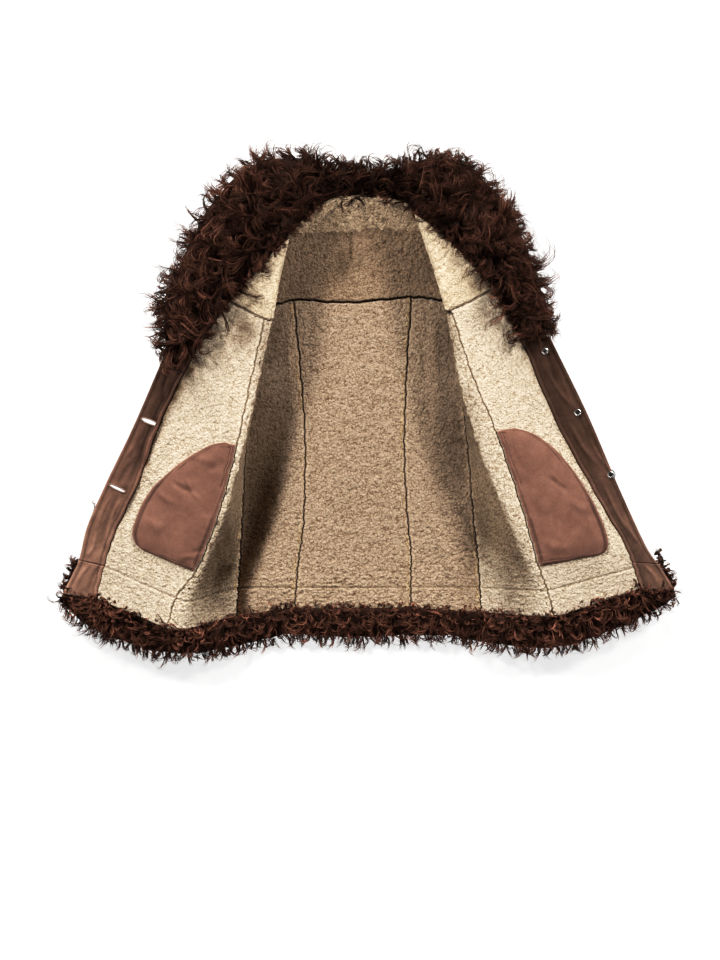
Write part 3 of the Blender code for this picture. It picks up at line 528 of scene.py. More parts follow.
def metal_material():
    n = Nodes("nickel", (0.78, 0.77, 0.75), 0.24, metal=1.0)
    scuff = n.noise(900, 3, 0.6)
    return n.done(n.mix((0.80, 0.79, 0.77), (0.52, 0.50, 0.48), n.ramp(scuff, (0.45, (0, 0, 0)), (0.72, (1, 1, 1)))),
                  n.bump(scuff, 0.12, 0.0003))


WOOL, WOOL_FINE = wool_material("wool_pile", 4.0 * MM), wool_material("wool_pile_fine", 3.6 * MM, 0.66)
SUEDE = suede_material("suede", (0.088, 0.0515, 0.0385), (0.140, 0.083, 0.062), tint=True)
SUEDE_OUT = suede_material("suede_outside", (0.075, 0.038, 0.026), (0.135, 0.072, 0.050))
RAW = suede_material("raw_edge", (0.018, 0.012, 0.010), (0.045, 0.030, 0.022))
COTTON = cotton_material()
FUR = fur_material()
THREAD_BROWN = thread_material("thread_brown", (0.20, 0.095, 0.068))
THREAD_DARK = thread_material("thread_dark", (0.055, 0.028, 0.022))
METAL = metal_material()
MADE = []


def piece(o, material, slot, *replaced):
    """Gives a finished piece its material, its body and the nodes that it stands for."""
    o.data.materials.clear()
    o.data.materials.append(material)
    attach(o, "root")
    if replaced:
        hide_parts(*replaced)
    MADE.append(o)
    return o


# ================================================================ sheepskin panels
def trim(u, t, low, high, inset):
    step = np.linalg.norm(np.diff(sections(t), axis=1), axis=2)
    row = np.arange(len(t))
    a = low + inset / step[row, np.clip(np.floor(low).astype(int), 0, 8)]
    b = high - inset / step[row, np.clip(np.ceil(high).astype(int) - 1, 0, 8)]
    return a + (b - a) * u


def body_surface(low, high, arm=None):
    """Surface of a body panel: (u, v) to point, normal and thickness."""
    def surface(u, v):
        t = np.clip(6.0 * v, 0.004, 6.0 - SEAM_T)
        a, b = np.full_like(t, low), np.full_like(t, high)
        share = pchip(ARMHOLE["station"], ARMHOLE["share"], t)
        if arm == "high":
            b = a + 1 + share
        if arm == "low":
            a = b - 1 - share
        s = trim(u, t, a, b, 0.5 * GAP)
        return body(s, t), body_normal(s, t), wall_at(s)
    return surface


def seam_above(s):
    return body(s, np.full_like(s, 6.0)) + np.array([0, 5 * GAP, 0])


def patch_surface(rows, wall, at=None):
    """Surface through a few rows of points, on the yoke seam if at is given."""
    vs = np.array(([0.0] if at else []) + [r["v"] for r in rows])

    def top(u, v):
        index = u * (len(rows[0]["x"]) - 1)
        lines = [rounded(np.repeat(place(r["x"], r["y"], r["z"])[None], len(u), axis=0), index) for r in rows]
        if at:
            lines.insert(0, seam_above(np.interp(index, np.arange(len(at)), at)))
        lines = np.stack(lines)
        h = np.diff(vs)
        d = np.diff(lines, axis=0) / h[:, None, None]
        m = np.zeros_like(lines)
        m[0], m[-1] = d[0], d[-1]
        for j in range(1, len(vs) - 1):
            same = d[j - 1] * d[j] > 0
            a, b = np.where(same, d[j - 1], 1), np.where(same, d[j], 1)
            w1, w2 = 2 * h[j] + h[j - 1], h[j] + 2 * h[j - 1]
            m[j] = np.where(same, (w1 + w2) / (w1 / a + w2 / b), 0)
        i = np.clip(np.searchsorted(vs, v, side="right") - 1, 0, len(h) - 1)
        r = np.arange(len(u))
        w = ((v - vs[i]) / h[i])[:, None]
        hi = h[i][:, None]
        return (lines[i, r] * (1 + 2 * w) * (1 - w) ** 2 + lines[i + 1, r] * w * w * (3 - 2 * w)
                + hi * m[i, r] * w * (1 - w) ** 2 + hi * m[i + 1, r] * w * w * (w - 1))

    def surface(u, v):
        e = 0.01
        n = unit(np.cross(top(u + e, v) - top(u - e, v), top(u, v + e) - top(u, v - e)))
        if at:
            s = np.interp(u * (len(at) - 1), np.arange(len(at)), at)
            w = np.clip(v / 0.4, 0, 1)[:, None]
            n = unit(n * w + body_normal(s, np.full_like(s, 6.0)) * (1 - w))
        return top(u, v), n, np.full(len(u), wall)
    return surface


def sized(surface):
    """Mean lengths across and along, and the area of the surface."""
    a, b = np.meshgrid(np.linspace(0, 1, 25), np.linspace(0, 1, 49))
    p = surface(a.ravel(), b.ravel())[0].reshape(49, 25, 3)
    across = np.linalg.norm(np.diff(p, axis=1), axis=2).sum(axis=1)
    along = np.linalg.norm(np.diff(p, axis=0), axis=2).sum(axis=0)
    d1, d2 = p[1:, 1:] - p[:-1, :-1], p[1:, :-1] - p[:-1, 1:]
    return across, along, float(np.linalg.norm(np.cross(d1, d2), axis=2).sum() / 2)


def edge_steps(length, step):
    near = np.array([0, 0.45, 1.1, 2.0]) * MM
    n = max(2, int(round((length - 6.2 * MM) / step)))
    x = np.concatenate([near, np.linspace(3.1 * MM, length - 3.1 * MM, n + 1), length - near[::-1]])
    return x / length


LIGHT_WOOL, DEEP_WOOL = np.array([1.0, 0.86, 0.685]), np.array([0.50, 0.39, 0.28])
# painted shade: the back, the side panels and the yoke are painted darker than the fronts, for the shade they lie in
PAINTED_GROUP_SHADE = {"front": (1.0, 1.0, 1.0), "side": (0.50, 0.447, 0.395), "back": (0.57, 0.515, 0.48), "yoke": (0.45, 0.39, 0.345)}


def sheepskin(name, surface, group, hem_line=None, seed=1):
    """Leather skin and wool pile of one panel."""
    across, along, area = sized(surface)
    # leather: a thin closed shell along the underside
    cols = max(6, int(across.max() / (8 * MM)))
    rows = max(6, int(along.max() / (8 * MM)))
    u, v = (g.ravel() for g in np.meshgrid(np.linspace(0, 1, cols), np.linspace(0, 1, rows)))
    p, n, wall = surface(u, v)
    lift = folds(p, FOLDS, group)[:, None]
    under = p + n * (lift - wall[:, None])
    under[:, 2] = np.maximum(under[:, 2], 0.0)
    above = p + n * (lift - wall[:, None] + 1.3 * MM)
    above[:, 2] = np.maximum(above[:, 2], under[:, 2] + 1.1 * MM)
    k = rows * cols
    skin = mesh_object(name + "_skin", np.concatenate([above, under]),
                       np.concatenate([grid_quads(rows, cols), grid_quads(rows, cols, k, True), rim_quads(rows, cols, 0, k)]))
    piece(skin, SUEDE_OUT, "shearling", name)
    # pile: a dense sheet whose border drops to the leather
    us, vs = edge_steps(float(np.mean(across)), WOOL_STEP), edge_steps(float(np.mean(along)), WOOL_STEP)
    cols, rows = len(us), len(vs)
    if name == "neck_band":
        us, vs = us * 1.08 - 0.04, vs * 1.5 - 0.22
    u, v = (g.ravel() for g in np.meshgrid(us, vs))
    p, n, wall = surface(u, v)
    q = p.reshape(rows, cols, 3)
    du = np.concatenate([np.zeros((rows, 1)), np.cumsum(np.linalg.norm(np.diff(q, axis=1), axis=2), axis=1)], axis=1)
    dv = np.concatenate([np.zeros((1, cols)), np.cumsum(np.linalg.norm(np.diff(q, axis=0), axis=2), axis=0)], axis=0)
    side = np.minimum(du, du[:, -1:] - du)
    # the wool runs on from the yoke into the neck band
    end = dv[-1:] - dv if name == "neck_band" else dv if "yoke" in name else np.minimum(dv, dv[-1:] - dv)
    edge = np.minimum(side, end).ravel()
    height = np.minimum(wall, np.where(wall > SKIN + 1e-6, p[:, 2], wall)) - 1.2 * MM
    drop = (1 - np.sqrt(np.clip(1 - (1 - np.clip(edge / (1.9 * MM), 0, 1)) ** 2, 0, 1))) * height
    tuft_size = TUFT[group]
    warp = np.stack([noise(p, 2.2 * tuft_size, seed + k) for k in range(3)], axis=1) * 0.45 * tuft_size
    near, second, label = cells(p + warp, tuft_size, seed)
    fine, _, _ = cells(p + warp * 0.5, tuft_size * 0.55, seed + 3)
    grain = 1 - 2 * np.abs(noise(p, 0.75 * tuft_size, seed + 9))
    tuft = np.clip(1 - 1.15 * near * near, 0, 1)
    crack = smooth(0.0, 0.30, second - near)
    wide = noise(p, 34 * MM, seed + 5) * 0.6 + noise(p, 15 * MM, seed + 6) * 0.4
    lie = 0.30 + 0.70 * smooth(2 * MM, 9 * MM, side.ravel())           # pressed flat beside the seams
    big = 0.6 + 0.4 * smooth(-0.3, 0.5, noise(p, 40 * MM, seed + 12))       # some areas are shaggier
    nap = (0.30 * tuft_size * (tuft - 0.6) + 0.16 * tuft_size * (0.45 - fine) + 0.10 * tuft_size * grain + 0.4 * MM * (label - 0.5)) * lie * big * 1.5 + wide * 0.8 * MM
    if hem_line is not None:
        far = np.abs(dv - np.take_along_axis(dv, np.argmin(np.abs(vs - hem_line)).repeat(cols)[None], axis=0)).ravel()
        groove = np.exp(-(far / (1.5 * MM)) ** 2)
        nap = nap * (1 - 0.7 * groove) - 1.5 * MM * groove
    else:
        groove = np.zeros(len(p))
    lift = folds(p, FOLDS, group)
    pts = p + n * (lift + nap * smooth(0, 2.5 * MM, edge) - drop)[:, None]
    if name == "neck_band":
        pts[:, 1] -= 11 * MM * smooth(0.55, -0.22, v)
    pts[:, 2] = np.maximum(pts[:, 2], 0.8 * MM)
    x, y = grid_xy(p)
    # painted shade: the wool is darkened in the patches of the table
    painted_shade = np.zeros(len(p))
    for g, cx, cy, rx, ry, amount in PAINTED_SHADE_PATCHES:
        if group in g:
            painted_shade = np.maximum(painted_shade, amount * np.exp(-(((x - cx) / rx) ** 2 + ((y - cy) / ry) ** 2)))
    # painted shadow cast by the standing inner edges of the plackets onto the wool beside them
    if name == "front_L":
        painted_shade = np.maximum(painted_shade, 0.85 * np.exp(-(du.ravel() / ((7 + 13 * smooth(440, 365, y)) * MM)) ** 2) * smooth(352, 366, y) * (1 - 0.7 * smooth(440, 540, y)))
    if name == "front_R":
        painted_shade = np.maximum(painted_shade, 0.5 * np.exp(-((du[:, -1:] - du).ravel() / (5 * MM)) ** 2) * (1 - 0.5 * smooth(440, 540, y)))
    painted_shade = np.clip(painted_shade * (1 + 0.4 * noise(p, 9 * MM, seed + 8)), 0, 0.97)[:, None]
    # painted shadow of the left fold across the left valley, deepest just inside its edge
    if name == "back_side_L":
        past = x - np.interp(y, *VALLEY_SHADE) + 2.0 * noise(p, 14 * MM, seed + 21)
        deep = 0.50 + 0.16 * smooth(430, 500, y) + 0.27 * np.exp(-((past + 17) / 14) ** 2) * smooth(380, 500, y)
        band = smooth(5, -9, past) * deep * smooth(320, 420, y)
        painted_shade = np.maximum(painted_shade * (1 - 0.6 * smooth(400, 440, y))[:, None], band[:, None])
    # painted shade in the crevices between the tufts and in the hem groove, with random tone from the cells, grain and
    # wide noise
    tone = np.clip(0.34 + 0.46 * tuft * (0.55 + 0.45 * crack) + 0.22 * (label - 0.5) + 0.34 * (0.45 - fine) + 0.14 * grain + 0.14 * wide - 0.5 * groove, 0, 1)[:, None]
    tone = 0.62 + 0.55 * (tone - 0.5)
    # the neck band is painted lighter than the yoke, a painted highlight on its raised roll
    col = (DEEP_WOOL + (LIGHT_WOOL - DEEP_WOOL) * tone) * np.array(PAINTED_GROUP_SHADE[group] if name != "neck_band" else (1.16, 1.07, 0.98))
    if name.startswith("front_yoke"):
        col = col * np.array([0.995, 0.965, 0.90])
    if group == "side":      # painted light: upward faces on the fold lose the painted side shade, the steep side below keeps it
        up = smooth(0.72, 0.97, n[:, 2])[:, None]
        col = col * (1 - up + up / np.array(PAINTED_GROUP_SHADE["side"]))
    col = col * (1 - painted_shade * np.array([0.92, 0.965, 1.0]))
    if group == "back":      # lighter towards the hem
        col = col * (1 + 0.10 * smooth(500, 590, y))[:, None]
    col = col * (1 + 0.22 * np.exp(-((side.ravel() - 3.2 * MM) / (1.1 * MM)) ** 2))[:, None]      # painted highlight on the wool just beside the seams
    # painted shade where the pile drops into the seams
    col *= (0.50 + 0.50 * smooth(0.2 * MM, 1.6 * MM, edge))[:, None]
    pile = mesh_object(name + "_wool", pts, grid_quads(rows, cols), colours=col)
    piece(pile, WOOL_FINE if group == "front" else WOOL, "shearling", name)
    return skin, pile


PANELS = {
    "back_center": (body_surface(PRINC_L, PRINC_R), "back", 1 / 6),
    "back_side_L": (body_surface(SIDE_L, PRINC_L), "back", 1 / 6),
    "back_side_R": (body_surface(PRINC_R, SIDE_R), "back", 1 / 6),
    "side_front_L": (body_surface(SEAM_L, SIDE_L, "high"), "side", 1 / 6),
    "side_front_R": (body_surface(SIDE_R, SEAM_R, "low"), "side", 1 / 6),
    "front_L": (body_surface(EDGE_L, SEAM_L), "front", 1 / 6),
    "front_R": (body_surface(SEAM_R, EDGE_R), "front", 1 / 6),
    "back_yoke": (patch_surface(YOKE, BACK_SKIN, YOKE_AT), "yoke", None),
    "front_yoke_L": (patch_surface(FRONT_YOKE["L"]["rows"], SKIN, FRONT_YOKE["L"]["at"]), "front", None),
    "front_yoke_R": (patch_surface(FRONT_YOKE["R"]["rows"], SKIN, FRONT_YOKE["R"]["at"]), "front", None),
    "neck_band": (patch_surface(NECK_BAND, SKIN), "yoke", None),
}
SKINS = {}
for number, (name, (surface, group, hem_line)) in enumerate(PANELS.items()):
    SKINS[name] = sheepskin(name, surface, group, hem_line, 11 + 13 * number)


# ================================================================ seams of the body
def ridge(points, normals, profile, wiggle, seed):
    """Strip along a path: profile rows are (side mm, height mm)."""
    tangent = unit(np.gradient(points, axis=0))
    lateral = unit(np.cross(normals, tangent))
    shift = (noise(points, 17 * MM, seed) * wiggle + noise(points, 6 * MM, seed + 1) * wiggle * 0.5)[:, None] * MM
    lumps = noise(points, 4 * MM, seed + 2)
    rows = [points + lateral * (a * MM * (1 + 0.45 * lumps[:, None]) + shift) + normals * ((b + 0.35 * lumps[:, None]) * MM) for a, b in profile]
    return np.stack(rows, axis=1)


def strips(name, grids, material, slot, closed=False, tint=None):
    """Several strips as one mesh."""
    verts, quads, base = [], [], 0
    for g in grids:
        rows, cols = g.shape[:2]
        verts.append(g.reshape(-1, 3))
        quads.append(grid_quads(rows, cols, base, wrap=closed))
        base += rows * cols
    verts = np.concatenate(verts)
    shade = None if tint is None else np.array(tint) * (1 + 0.3 * noise(verts, 4 * MM, 71) + 0.2 * noise(verts, 11 * MM, 72))[:, None]
    return piece(mesh_object(name, verts, np.concatenate(quads), colours=shade), material, slot)


SEAM_PROFILE = ((-1.9, -4.8), (-0.9, -2.5), (-0.2, -1.4), (0.6, -2.2), (1.7, -4.8))
YOKE_PROFILE = ((-1.9, -5.4), (-0.9, -4.4), (-0.2, -3.9), (0.6, -4.2), (1.7, -5.4))
FINE_PROFILE = ((-1.5, -4.8), (-0.7, -1.5), (-0.1, -0.2), (0.5, -1.2), (1.3, -4.8))
ALLOWANCE = ((1.3, -3.0), (1.9, -0.5), (3.2, 0.35), (5.2, 0.2), (6.4, -0.6), (7.0, -2.4))


def body_path(s, t0, t1, step=1.6 * MM):
    n = 400
    t = np.linspace(t0, t1, n)
    p = body(np.full(n, float(s)), t)
    long = np.concatenate([[0], np.cumsum(np.linalg.norm(np.diff(p, axis=0), axis=1))])
    t = np.interp(np.linspace(0, long[-1], max(8, int(long[-1] / step))), long, t)
    s = np.full(len(t), float(s))
    return body(s, t), body_normal(s, t)


seams, fine, allowances = [], [], []
for k, (line, t0, t1, group) in enumerate(((SEAM_L, 0, 2.0, "front"), (SEAM_L, 4.0, 6, "front"), (SIDE_L, 0, 5.2, "back"), (PRINC_L, 0, 6, "back"),
                                           (PRINC_R, 0, 6, "back"), (SIDE_R, 0, 5.2, "back"), (SEAM_R, 0, 2.0, "front"), (SEAM_R, 4.0, 6, "front"))):
    p, n = body_path(line, t0, t1)
    p = p + n * folds(p, FOLDS, group)[:, None]
    (fine if group == "front" else seams).append(ridge(p, n, FINE_PROFILE if group == "front" else SEAM_PROFILE, 0.6, 40 + 3 * k))
    if group == "back":
        allowances.append(ridge(p, n, ALLOWANCE, 0.9, 40 + 3 * k))
for k, (a, b) in enumerate(((3.05, 5.95), (0.05, 2.25), (6.75, 8.95))):
    s = np.linspace(a, b, 190 if k == 0 else 60)
    t = np.full_like(s, 6.0)
    p, n = body(s, t) + np.array([0, 2.5 * GAP, 0]), body_normal(s, t)
    (fine if k else seams).append(ridge(p, n, FINE_PROFILE if k else YOKE_PROFILE, 0.6, 80 + 3 * k))
BACKING = ((-7.0, -7.5), (-3.0, -5.6), (3.0, -5.6), (7.0, -7.5))
for k, (line, t0, t1) in enumerate(((0.003, 0.0, 5.0), (8.997, 0.0, 5.0))):
    p, n = body_path(line, t0, t1, 4 * MM)
    seams.append(ridge(p, n, BACKING, 0.0, 140 + k))
s_hem = np.linspace(0.02, 8.98, 240)
p, n = body(s_hem, np.full(240, 0.01)), body_normal(s_hem, np.full(240, 0.02))
hem_backing = ridge(p, n, BACKING, 0.0, 150)
hem_backing[..., 2] = np.maximum(hem_backing[..., 2], 0.3 * MM)
seams.append(hem_backing)
UNDER_COLLAR = (((-2.0, -5.8), (7.0, -5.8), (22.0, -9.5)), ((-22.0, -9.5), (-7.0, -5.8), (2.0, -5.8)))      # left, right
for k, line in enumerate((0.003, 8.997)):
    p, n = body_path(line, 5.0, 6.0, 4 * MM)
    seams.append(ridge(p, n, UNDER_COLLAR[k], 0.0, 160 + k))
for k, (name, u) in enumerate((("front_yoke_L", 0.0), ("front_yoke_R", 1.0))):
    p, n, _ = PANELS[name][0](np.full(30, u), np.linspace(0, 1, 30))
    seams.append(ridge(p, n, UNDER_COLLAR[k], 0.0, 165 + k))
strips("seam_edges", seams, RAW, "suede")
shoulders = []
for front, u, edge in (("front_yoke_L", 1.0, 0.0), ("front_yoke_R", 0.0, 1.0)):
    v = np.linspace(0.30, 1.0, 22)
    a, up, _ = PANELS["back_yoke"][0](np.full(22, edge), v)
    b, face, _ = PANELS[front][0](np.full(22, u), v)
    w = np.linspace(0, 1, 18)[None, :, None]
    a, b = (a - up * 4.5 * MM)[:, None], (b - face * 4.5 * MM)[:, None] + np.array([0, 0, 4 * MM])
    bow = np.array([-1.0 if edge == 0.0 else 1.0, 0.0, 0.0]) * 9 * MM * np.sin(np.pi * w)
    shoulders.append(a + (b - a) * w + bow)
    # the neck rises from the yoke to the collar
    out = -1.0 if edge == 0.0 else 1.0
    a, up, _ = PANELS["back_yoke"][0](np.linspace(0, 0.24, 22) if edge == 0.0 else np.linspace(1, 0.87, 22), np.ones(22))
    shoulders.append((a - up * 4.5 * MM)[:, None] + np.array([out * 8, 14, 46]) * MM * w)
# the shoulder and neck fillers are wool painted dark, as painted shade in the joints between the yokes and under the
# collar
strips("shoulder_wool", shoulders, WOOL, "shearling", tint=(0.40, 0.31, 0.22))
strips("seam_edges_front", fine, WOOL, "shearling", tint=(0.40, 0.31, 0.22))
strips("seam_allowances", allowances, WOOL, "shearling", tint=(0.50, 0.37, 0.225))


# ================================================================ plackets
STATION_5 = np.arange(6.0)


def placket_surface(side, t0, t1):
    """u from the free edge to the front's edge; normal out of the inner face."""
    row = PLACKETS[side]
    table = place(row["x"], row["y"], row["z"])

    def surface(u, v):
        t = np.clip(t0 + (t1 - t0) * v, t0 + (SEAM_T if t0 else 0.0), t1 - SEAM_T)
        free = pchip(STATION_5, table, t)
        edge = body(np.full_like(t, float(row["line"])), t)
        across = edge - free
        width = np.linalg.norm(across, axis=1, keepdims=True)
        p = free + across * (u[:, None] * (1 - GAP / width))
        p[:, 2] += 0.0016 * np.sin(np.pi * u)
        e = 0.02
        along = pchip(STATION_5, table, np.clip(t + e, 0, 5)) - pchip(STATION_5, table, np.clip(t - e, 0, 5))
        n = unit(np.cross(across, along) * (1 if side == "L" else -1))
        return p, n, np.full(len(u), PLACKET)
    return surface


def shell(name, surface, step, shape, colour, roll=2.2 * MM, stand=None):
    """Closed sheet with rolled borders; shape(p) lifts the outer face, colour(p, edge) tints it."""
    across, along, area = sized(surface)
    us, vs = edge_steps(float(np.mean(across)), step), edge_steps(float(np.mean(along)), step)
    cols, rows = len(us), len(vs)
    u, v = (g.ravel() for g in np.meshgrid(us, vs))
    p, n, wall = surface(u, v)
    q = p.reshape(rows, cols, 3)
    du = np.concatenate([np.zeros((rows, 1)), np.cumsum(np.linalg.norm(np.diff(q, axis=1), axis=2), axis=1)], axis=1)
    dv = np.concatenate([np.zeros((1, cols)), np.cumsum(np.linalg.norm(np.diff(q, axis=0), axis=2), axis=0)], axis=0)
    side, end = np.minimum(du, du[:, -1:] - du).ravel(), np.minimum(dv, dv[-1:] - dv).ravel()
    edge = np.minimum(side, end)
    curve = 1 - np.sqrt(np.clip(1 - (1 - np.clip(edge / roll, 0, 1)) ** 2, 0, 1))
    h = shape(p, side, end) * smooth(0, 4 * MM, edge)
    low = h
    if stand is not None:
        h = h + stand(p, (du[:, -1:] - du).ravel()) * smooth(0, 5 * MM, end)
    h = np.where(h < 0, -0.6 * wall * np.tanh(-h / (0.6 * wall)), h)      # troughs stay within the sheet
    top = p + n * (h - curve * 0.45 * wall)[:, None]
    under = p + n * (np.maximum(np.minimum(h, low), -wall * 0.2) - wall + curve * 0.45 * wall)[:, None]
    k = rows * cols
    o = mesh_object(name, np.concatenate([top, under]),
                    np.concatenate([grid_quads(rows, cols), grid_quads(rows, cols, k, True), rim_quads(rows, cols, 0, k)]),
                    colours=np.concatenate([colour(p, side, end, (du[:, -1:] - du).ravel())] * 2))
    return o, (float(across.max()), float(along.max())), area


def on_placket(side, gx, gy):
    """Frame on the placket over a grid point: z out of the inner face, x square across it."""
    row = PLACKETS[side]
    surface = placket_surface(side, 0.0, 5.0)
    u, t = np.meshgrid(np.linspace(0.1, 0.9, 33), np.linspace(0.2, 4.98, 240))
    u, v = u.ravel(), t.ravel() / 5.0
    p = surface(u, v)[0]
    i = int(np.argmin(np.linalg.norm(p[:, :2] - place(gx, gy, 0)[:2], axis=1)))
    at, step = np.array([u[i]]), np.array([v[i]])
    across = Vector((surface(at + 0.05, step)[0] - surface(at - 0.05, step)[0])[0])
    along = Vector((surface(at, step + 0.01)[0] - surface(at, step - 0.01)[0])[0])
    z = Vector(surface(at, step)[1][0]).normalized()
    x = along.cross(z).normalized()
    x = -x if x.dot(across) < 0 else x
    y = z.cross(x).normalized()
    m = Matrix((x, y, z)).transposed().to_4x4()
    m.translation = Vector(p[i])
    return m


def stitches(paths, length=2.6 * MM, gap=1.3 * MM, radius=0.42 * MM, sink=0.1 * MM):
    """Short threads along paths of (points, normals): grids of four-sided rings."""
    grids = []
    for points, normals in paths:
        long = np.concatenate([[0], np.cumsum(np.linalg.norm(np.diff(points, axis=0), axis=1))])
        n = int(long[-1] / (length + gap))
        for k in range(n):
            a = np.linspace(k * (length + gap), k * (length + gap) + length, 4)
            c = np.stack([np.interp(a, long, points[:, j]) for j in range(3)], axis=1)
            m = unit(np.stack([np.interp(a, long, normals[:, j]) for j in range(3)], axis=1))
            t = unit(np.gradient(c, axis=0))
            b = np.cross(m, t)
            r = radius * np.array([0.35, 1.0, 1.0, 0.35])[:, None]
            c = c + m * (np.array([-0.55, 0.5, 0.5, -0.55])[:, None] * radius - sink)
            grids.append(np.stack([c + b * r, c + m * r * 0.9, c - b * r, c - m * r * 0.9], axis=1))
    return grids


def surface_path(surface, u, v, lift):
    """Points and normals on a surface along arrays u, v."""
    p, n, _ = surface(np.asarray(u, float), np.asarray(v, float))
    return p + n * np.asarray(lift)[..., None] if np.ndim(lift) else p + n * lift, n


STITCH_IN = 6.4 * MM      # topstitching from the edge
VALLEY_AT = ((372, 386, 402), (27, 22, 13))      # hollow beside the left inner edge: grid y, mm from that edge


def placket_shape(side):
    def shape(p, edge, end):
        h = 1.7 * folds(p, PLACKET_FOLDS, side) + noise(p, 22 * MM, 301) * 0.7 * MM + noise(p, 9 * MM, 305) * 0.3 * MM
        h = h + 0.8 * MM * np.exp(-((edge - 2.8 * MM) / (1.8 * MM)) ** 2)
        return h - 1.3 * MM * np.exp(-((edge - STITCH_IN) / (1.6 * MM)) ** 2)      # drawn in along the topstitching
    return shape


def placket_stand(side):
    """The inner edge stands up off the wool in slow waves."""
    def stand(p, inner):
        y = grid_xy(p)[1]
        wave = 0.5 + 0.5 * np.sin((y - 352) / 62 * 2 * np.pi - (0.6 if side == "L" else 2.2))
        gate = smooth(365, 385, y) * (1 - smooth(535, 560, y))
        high = (3.0 + 4.2 * wave) if side == "L" else (0.8 + 1.6 * wave)
        middle = np.interp(y, *VALLEY_AT) * MM if side == "L" else 13 * MM
        valley = (2.4 if side == "L" else 0.8) * MM * np.exp(-((inner - middle) / (4.5 * MM)) ** 2)
        return gate * (high * MM * np.exp(-(inner / ((7 if side == "L" else 5) * MM)) ** 2) - valley)
    return stand


# how light the suede is down each placket: darker at the top, lighter towards the hem
PLACKET_TONE = dict(y=(370, 395, 430, 470, 530, 580), L=(0.84, 0.90, 1.12, 1.52, 2.15, 2.8), R=(0.72, 0.78, 0.86, 1.10, 1.40, 1.95))


def placket_colour(side):
    base = PLACKET_TONE[side]

    def colour(p, edge, end, inner):
        # painted highlight along the rolled edges, with random tone
        edge_light_and_tone = 1 + 0.40 * np.exp(-(edge / (1.4 * MM)) ** 2) + 0.14 * noise(p, 26 * MM, 320) + 0.10 * noise(p, 8 * MM, 322)
        # painted light on the fold ridges and painted shade in the troughs
        ridges = 1 + 0.15 * np.clip(folds(p, PLACKET_FOLDS, side) / MM, -2, 2)
        # painted shade in the topstitch groove and painted highlight on the bead by the edge
        rows = 1 - 0.50 * np.exp(-((edge - STITCH_IN) / (1.5 * MM)) ** 2) + 0.22 * np.exp(-((edge - 2.8 * MM) / (1.8 * MM)) ** 2)
        middle = np.interp(grid_xy(p)[1], *VALLEY_AT) * MM if side == "L" else 12.5 * MM
        tone = np.interp(grid_xy(p)[1], PLACKET_TONE["y"], base)
        gate = (smooth(352, 372, grid_xy(p)[1]) * (1 - smooth(440, 500, grid_xy(p)[1]))) if side == "L" else 0.35
        # painted shade in the hollow beside the standing inner edge and painted highlight on its roll
        roll = 1 - 0.62 * gate * np.exp(-((inner - middle) / (4.2 * MM)) ** 2) + 0.35 * gate * np.exp(-((inner - 4.5 * MM) / (2.6 * MM)) ** 2)
        grey = smooth(430, 560, grid_xy(p)[1])[:, None]
        return (tone * edge_light_and_tone * ridges * rows * roll)[:, None] * (np.array([1.04, 0.975, 0.93]) * (1 - grey) + np.array([0.99, 1.0, 0.975]) * grey)
    return colour


PLACKET_FOLDS = tuple((g, x0, y0, x1, y1, 0.62 * half, 1.15 * high) for g, x0, y0, x1, y1, half, high in PLACKET_FOLDS)
thread_paths = []
for side, row in PLACKETS.items():
    for name, t0, t1 in (("placket_end_", 0.0, row["end_at"]), ("placket_", row["end_at"], 5.0)):
        surface = placket_surface(side, t0, t1)
        o, flat, area = shell(name + "suede_" + side, surface, 2.0 * MM, placket_shape(side), placket_colour(side), stand=placket_stand(side))
        if name + side == "placket_L":
            for k, (gx, gy, gape) in enumerate(BUTTONHOLES, 1):
                ring = np.linspace(0, 2 * np.pi, 33)[:32]
                flat_ring = np.stack([np.cos(ring) * SLOT_LONG / 2, np.sin(ring) * gape / 2], axis=1)
                pts = np.concatenate([np.column_stack([flat_ring, np.full(32, z)]) for z in (-0.015, 0.015)])
                me = bpy.data.meshes.new("slot")
                walls = [(i, (i + 1) % 32, 32 + (i + 1) % 32, 32 + i) for i in range(32)]
                me.from_pydata(pts.tolist(), [], walls + [tuple(range(31, -1, -1)), tuple(range(32, 64))])
                cutter = bpy.data.objects.new("slot", me)
                scene.collection.objects.link(cutter)
                cutter.matrix_world = on_placket("L", gx, gy)
                cut = o.modifiers.new("slot", "BOOLEAN")
                cut.object, cut.operation = cutter, "DIFFERENCE"
                bpy.context.view_layer.update()
                done = bpy.data.meshes.new_from_object(o.evaluated_get(bpy.context.evaluated_depsgraph_get()))
                o.modifiers.clear()
                o.data = done
                bpy.data.objects.remove(cutter)
        piece(o, SUEDE, "suede", name + side)
        across, along, _ = sized(surface)
        shape = placket_shape(side)
        v = np.linspace(0.012, 0.988, max(24, int(along.max() / MM)))
        for from_edge in (STITCH_IN, -STITCH_IN):
            w = np.interp(v, np.linspace(0, 1, len(across)), across)
            u = from_edge / w if from_edge > 0 else 1 + from_edge / w
            p, n = surface_path(surface, u, v, 0.0)
            h = shape(p, np.full(len(p), STITCH_IN), np.full(len(p), 1.0))
            h = h + placket_stand(side)(p, np.full(len(p), STITCH_IN) if from_edge < 0 else w - STITCH_IN)
            thread_paths.append((p + n * h[:, None], n))
        if t0 == 0.0:      # cross seam of the placket end
            u = np.linspace(0.08, 0.92, 60)
            for back in (0.05, 0.13):
                p, n = surface_path(surface, u, np.full(60, 1 - back), 0.0)
                h = shape(p, np.full(60, 1.0), np.full(60, 1.0))
                thread_paths.append((p + n * h[:, None], n))
under_seams = []
for side, row in PLACKETS.items():
    u = np.linspace(0.05, 0.95, 40)
    p, n = surface_path(placket_surface(side, 0.0, row["end_at"]), u, np.ones(40), 0.0)
    under_seams.append(ridge(p, n, ((-4.5, -3.3), (-2.0, -2.4), (2.0, -2.4), (4.5, -3.3)), 0.0, 170))
strips("placket_under_seams", under_seams, RAW, "suede")
strips("placket_stitches", stitches(thread_paths), THREAD_BROWN, "suede", closed=True)

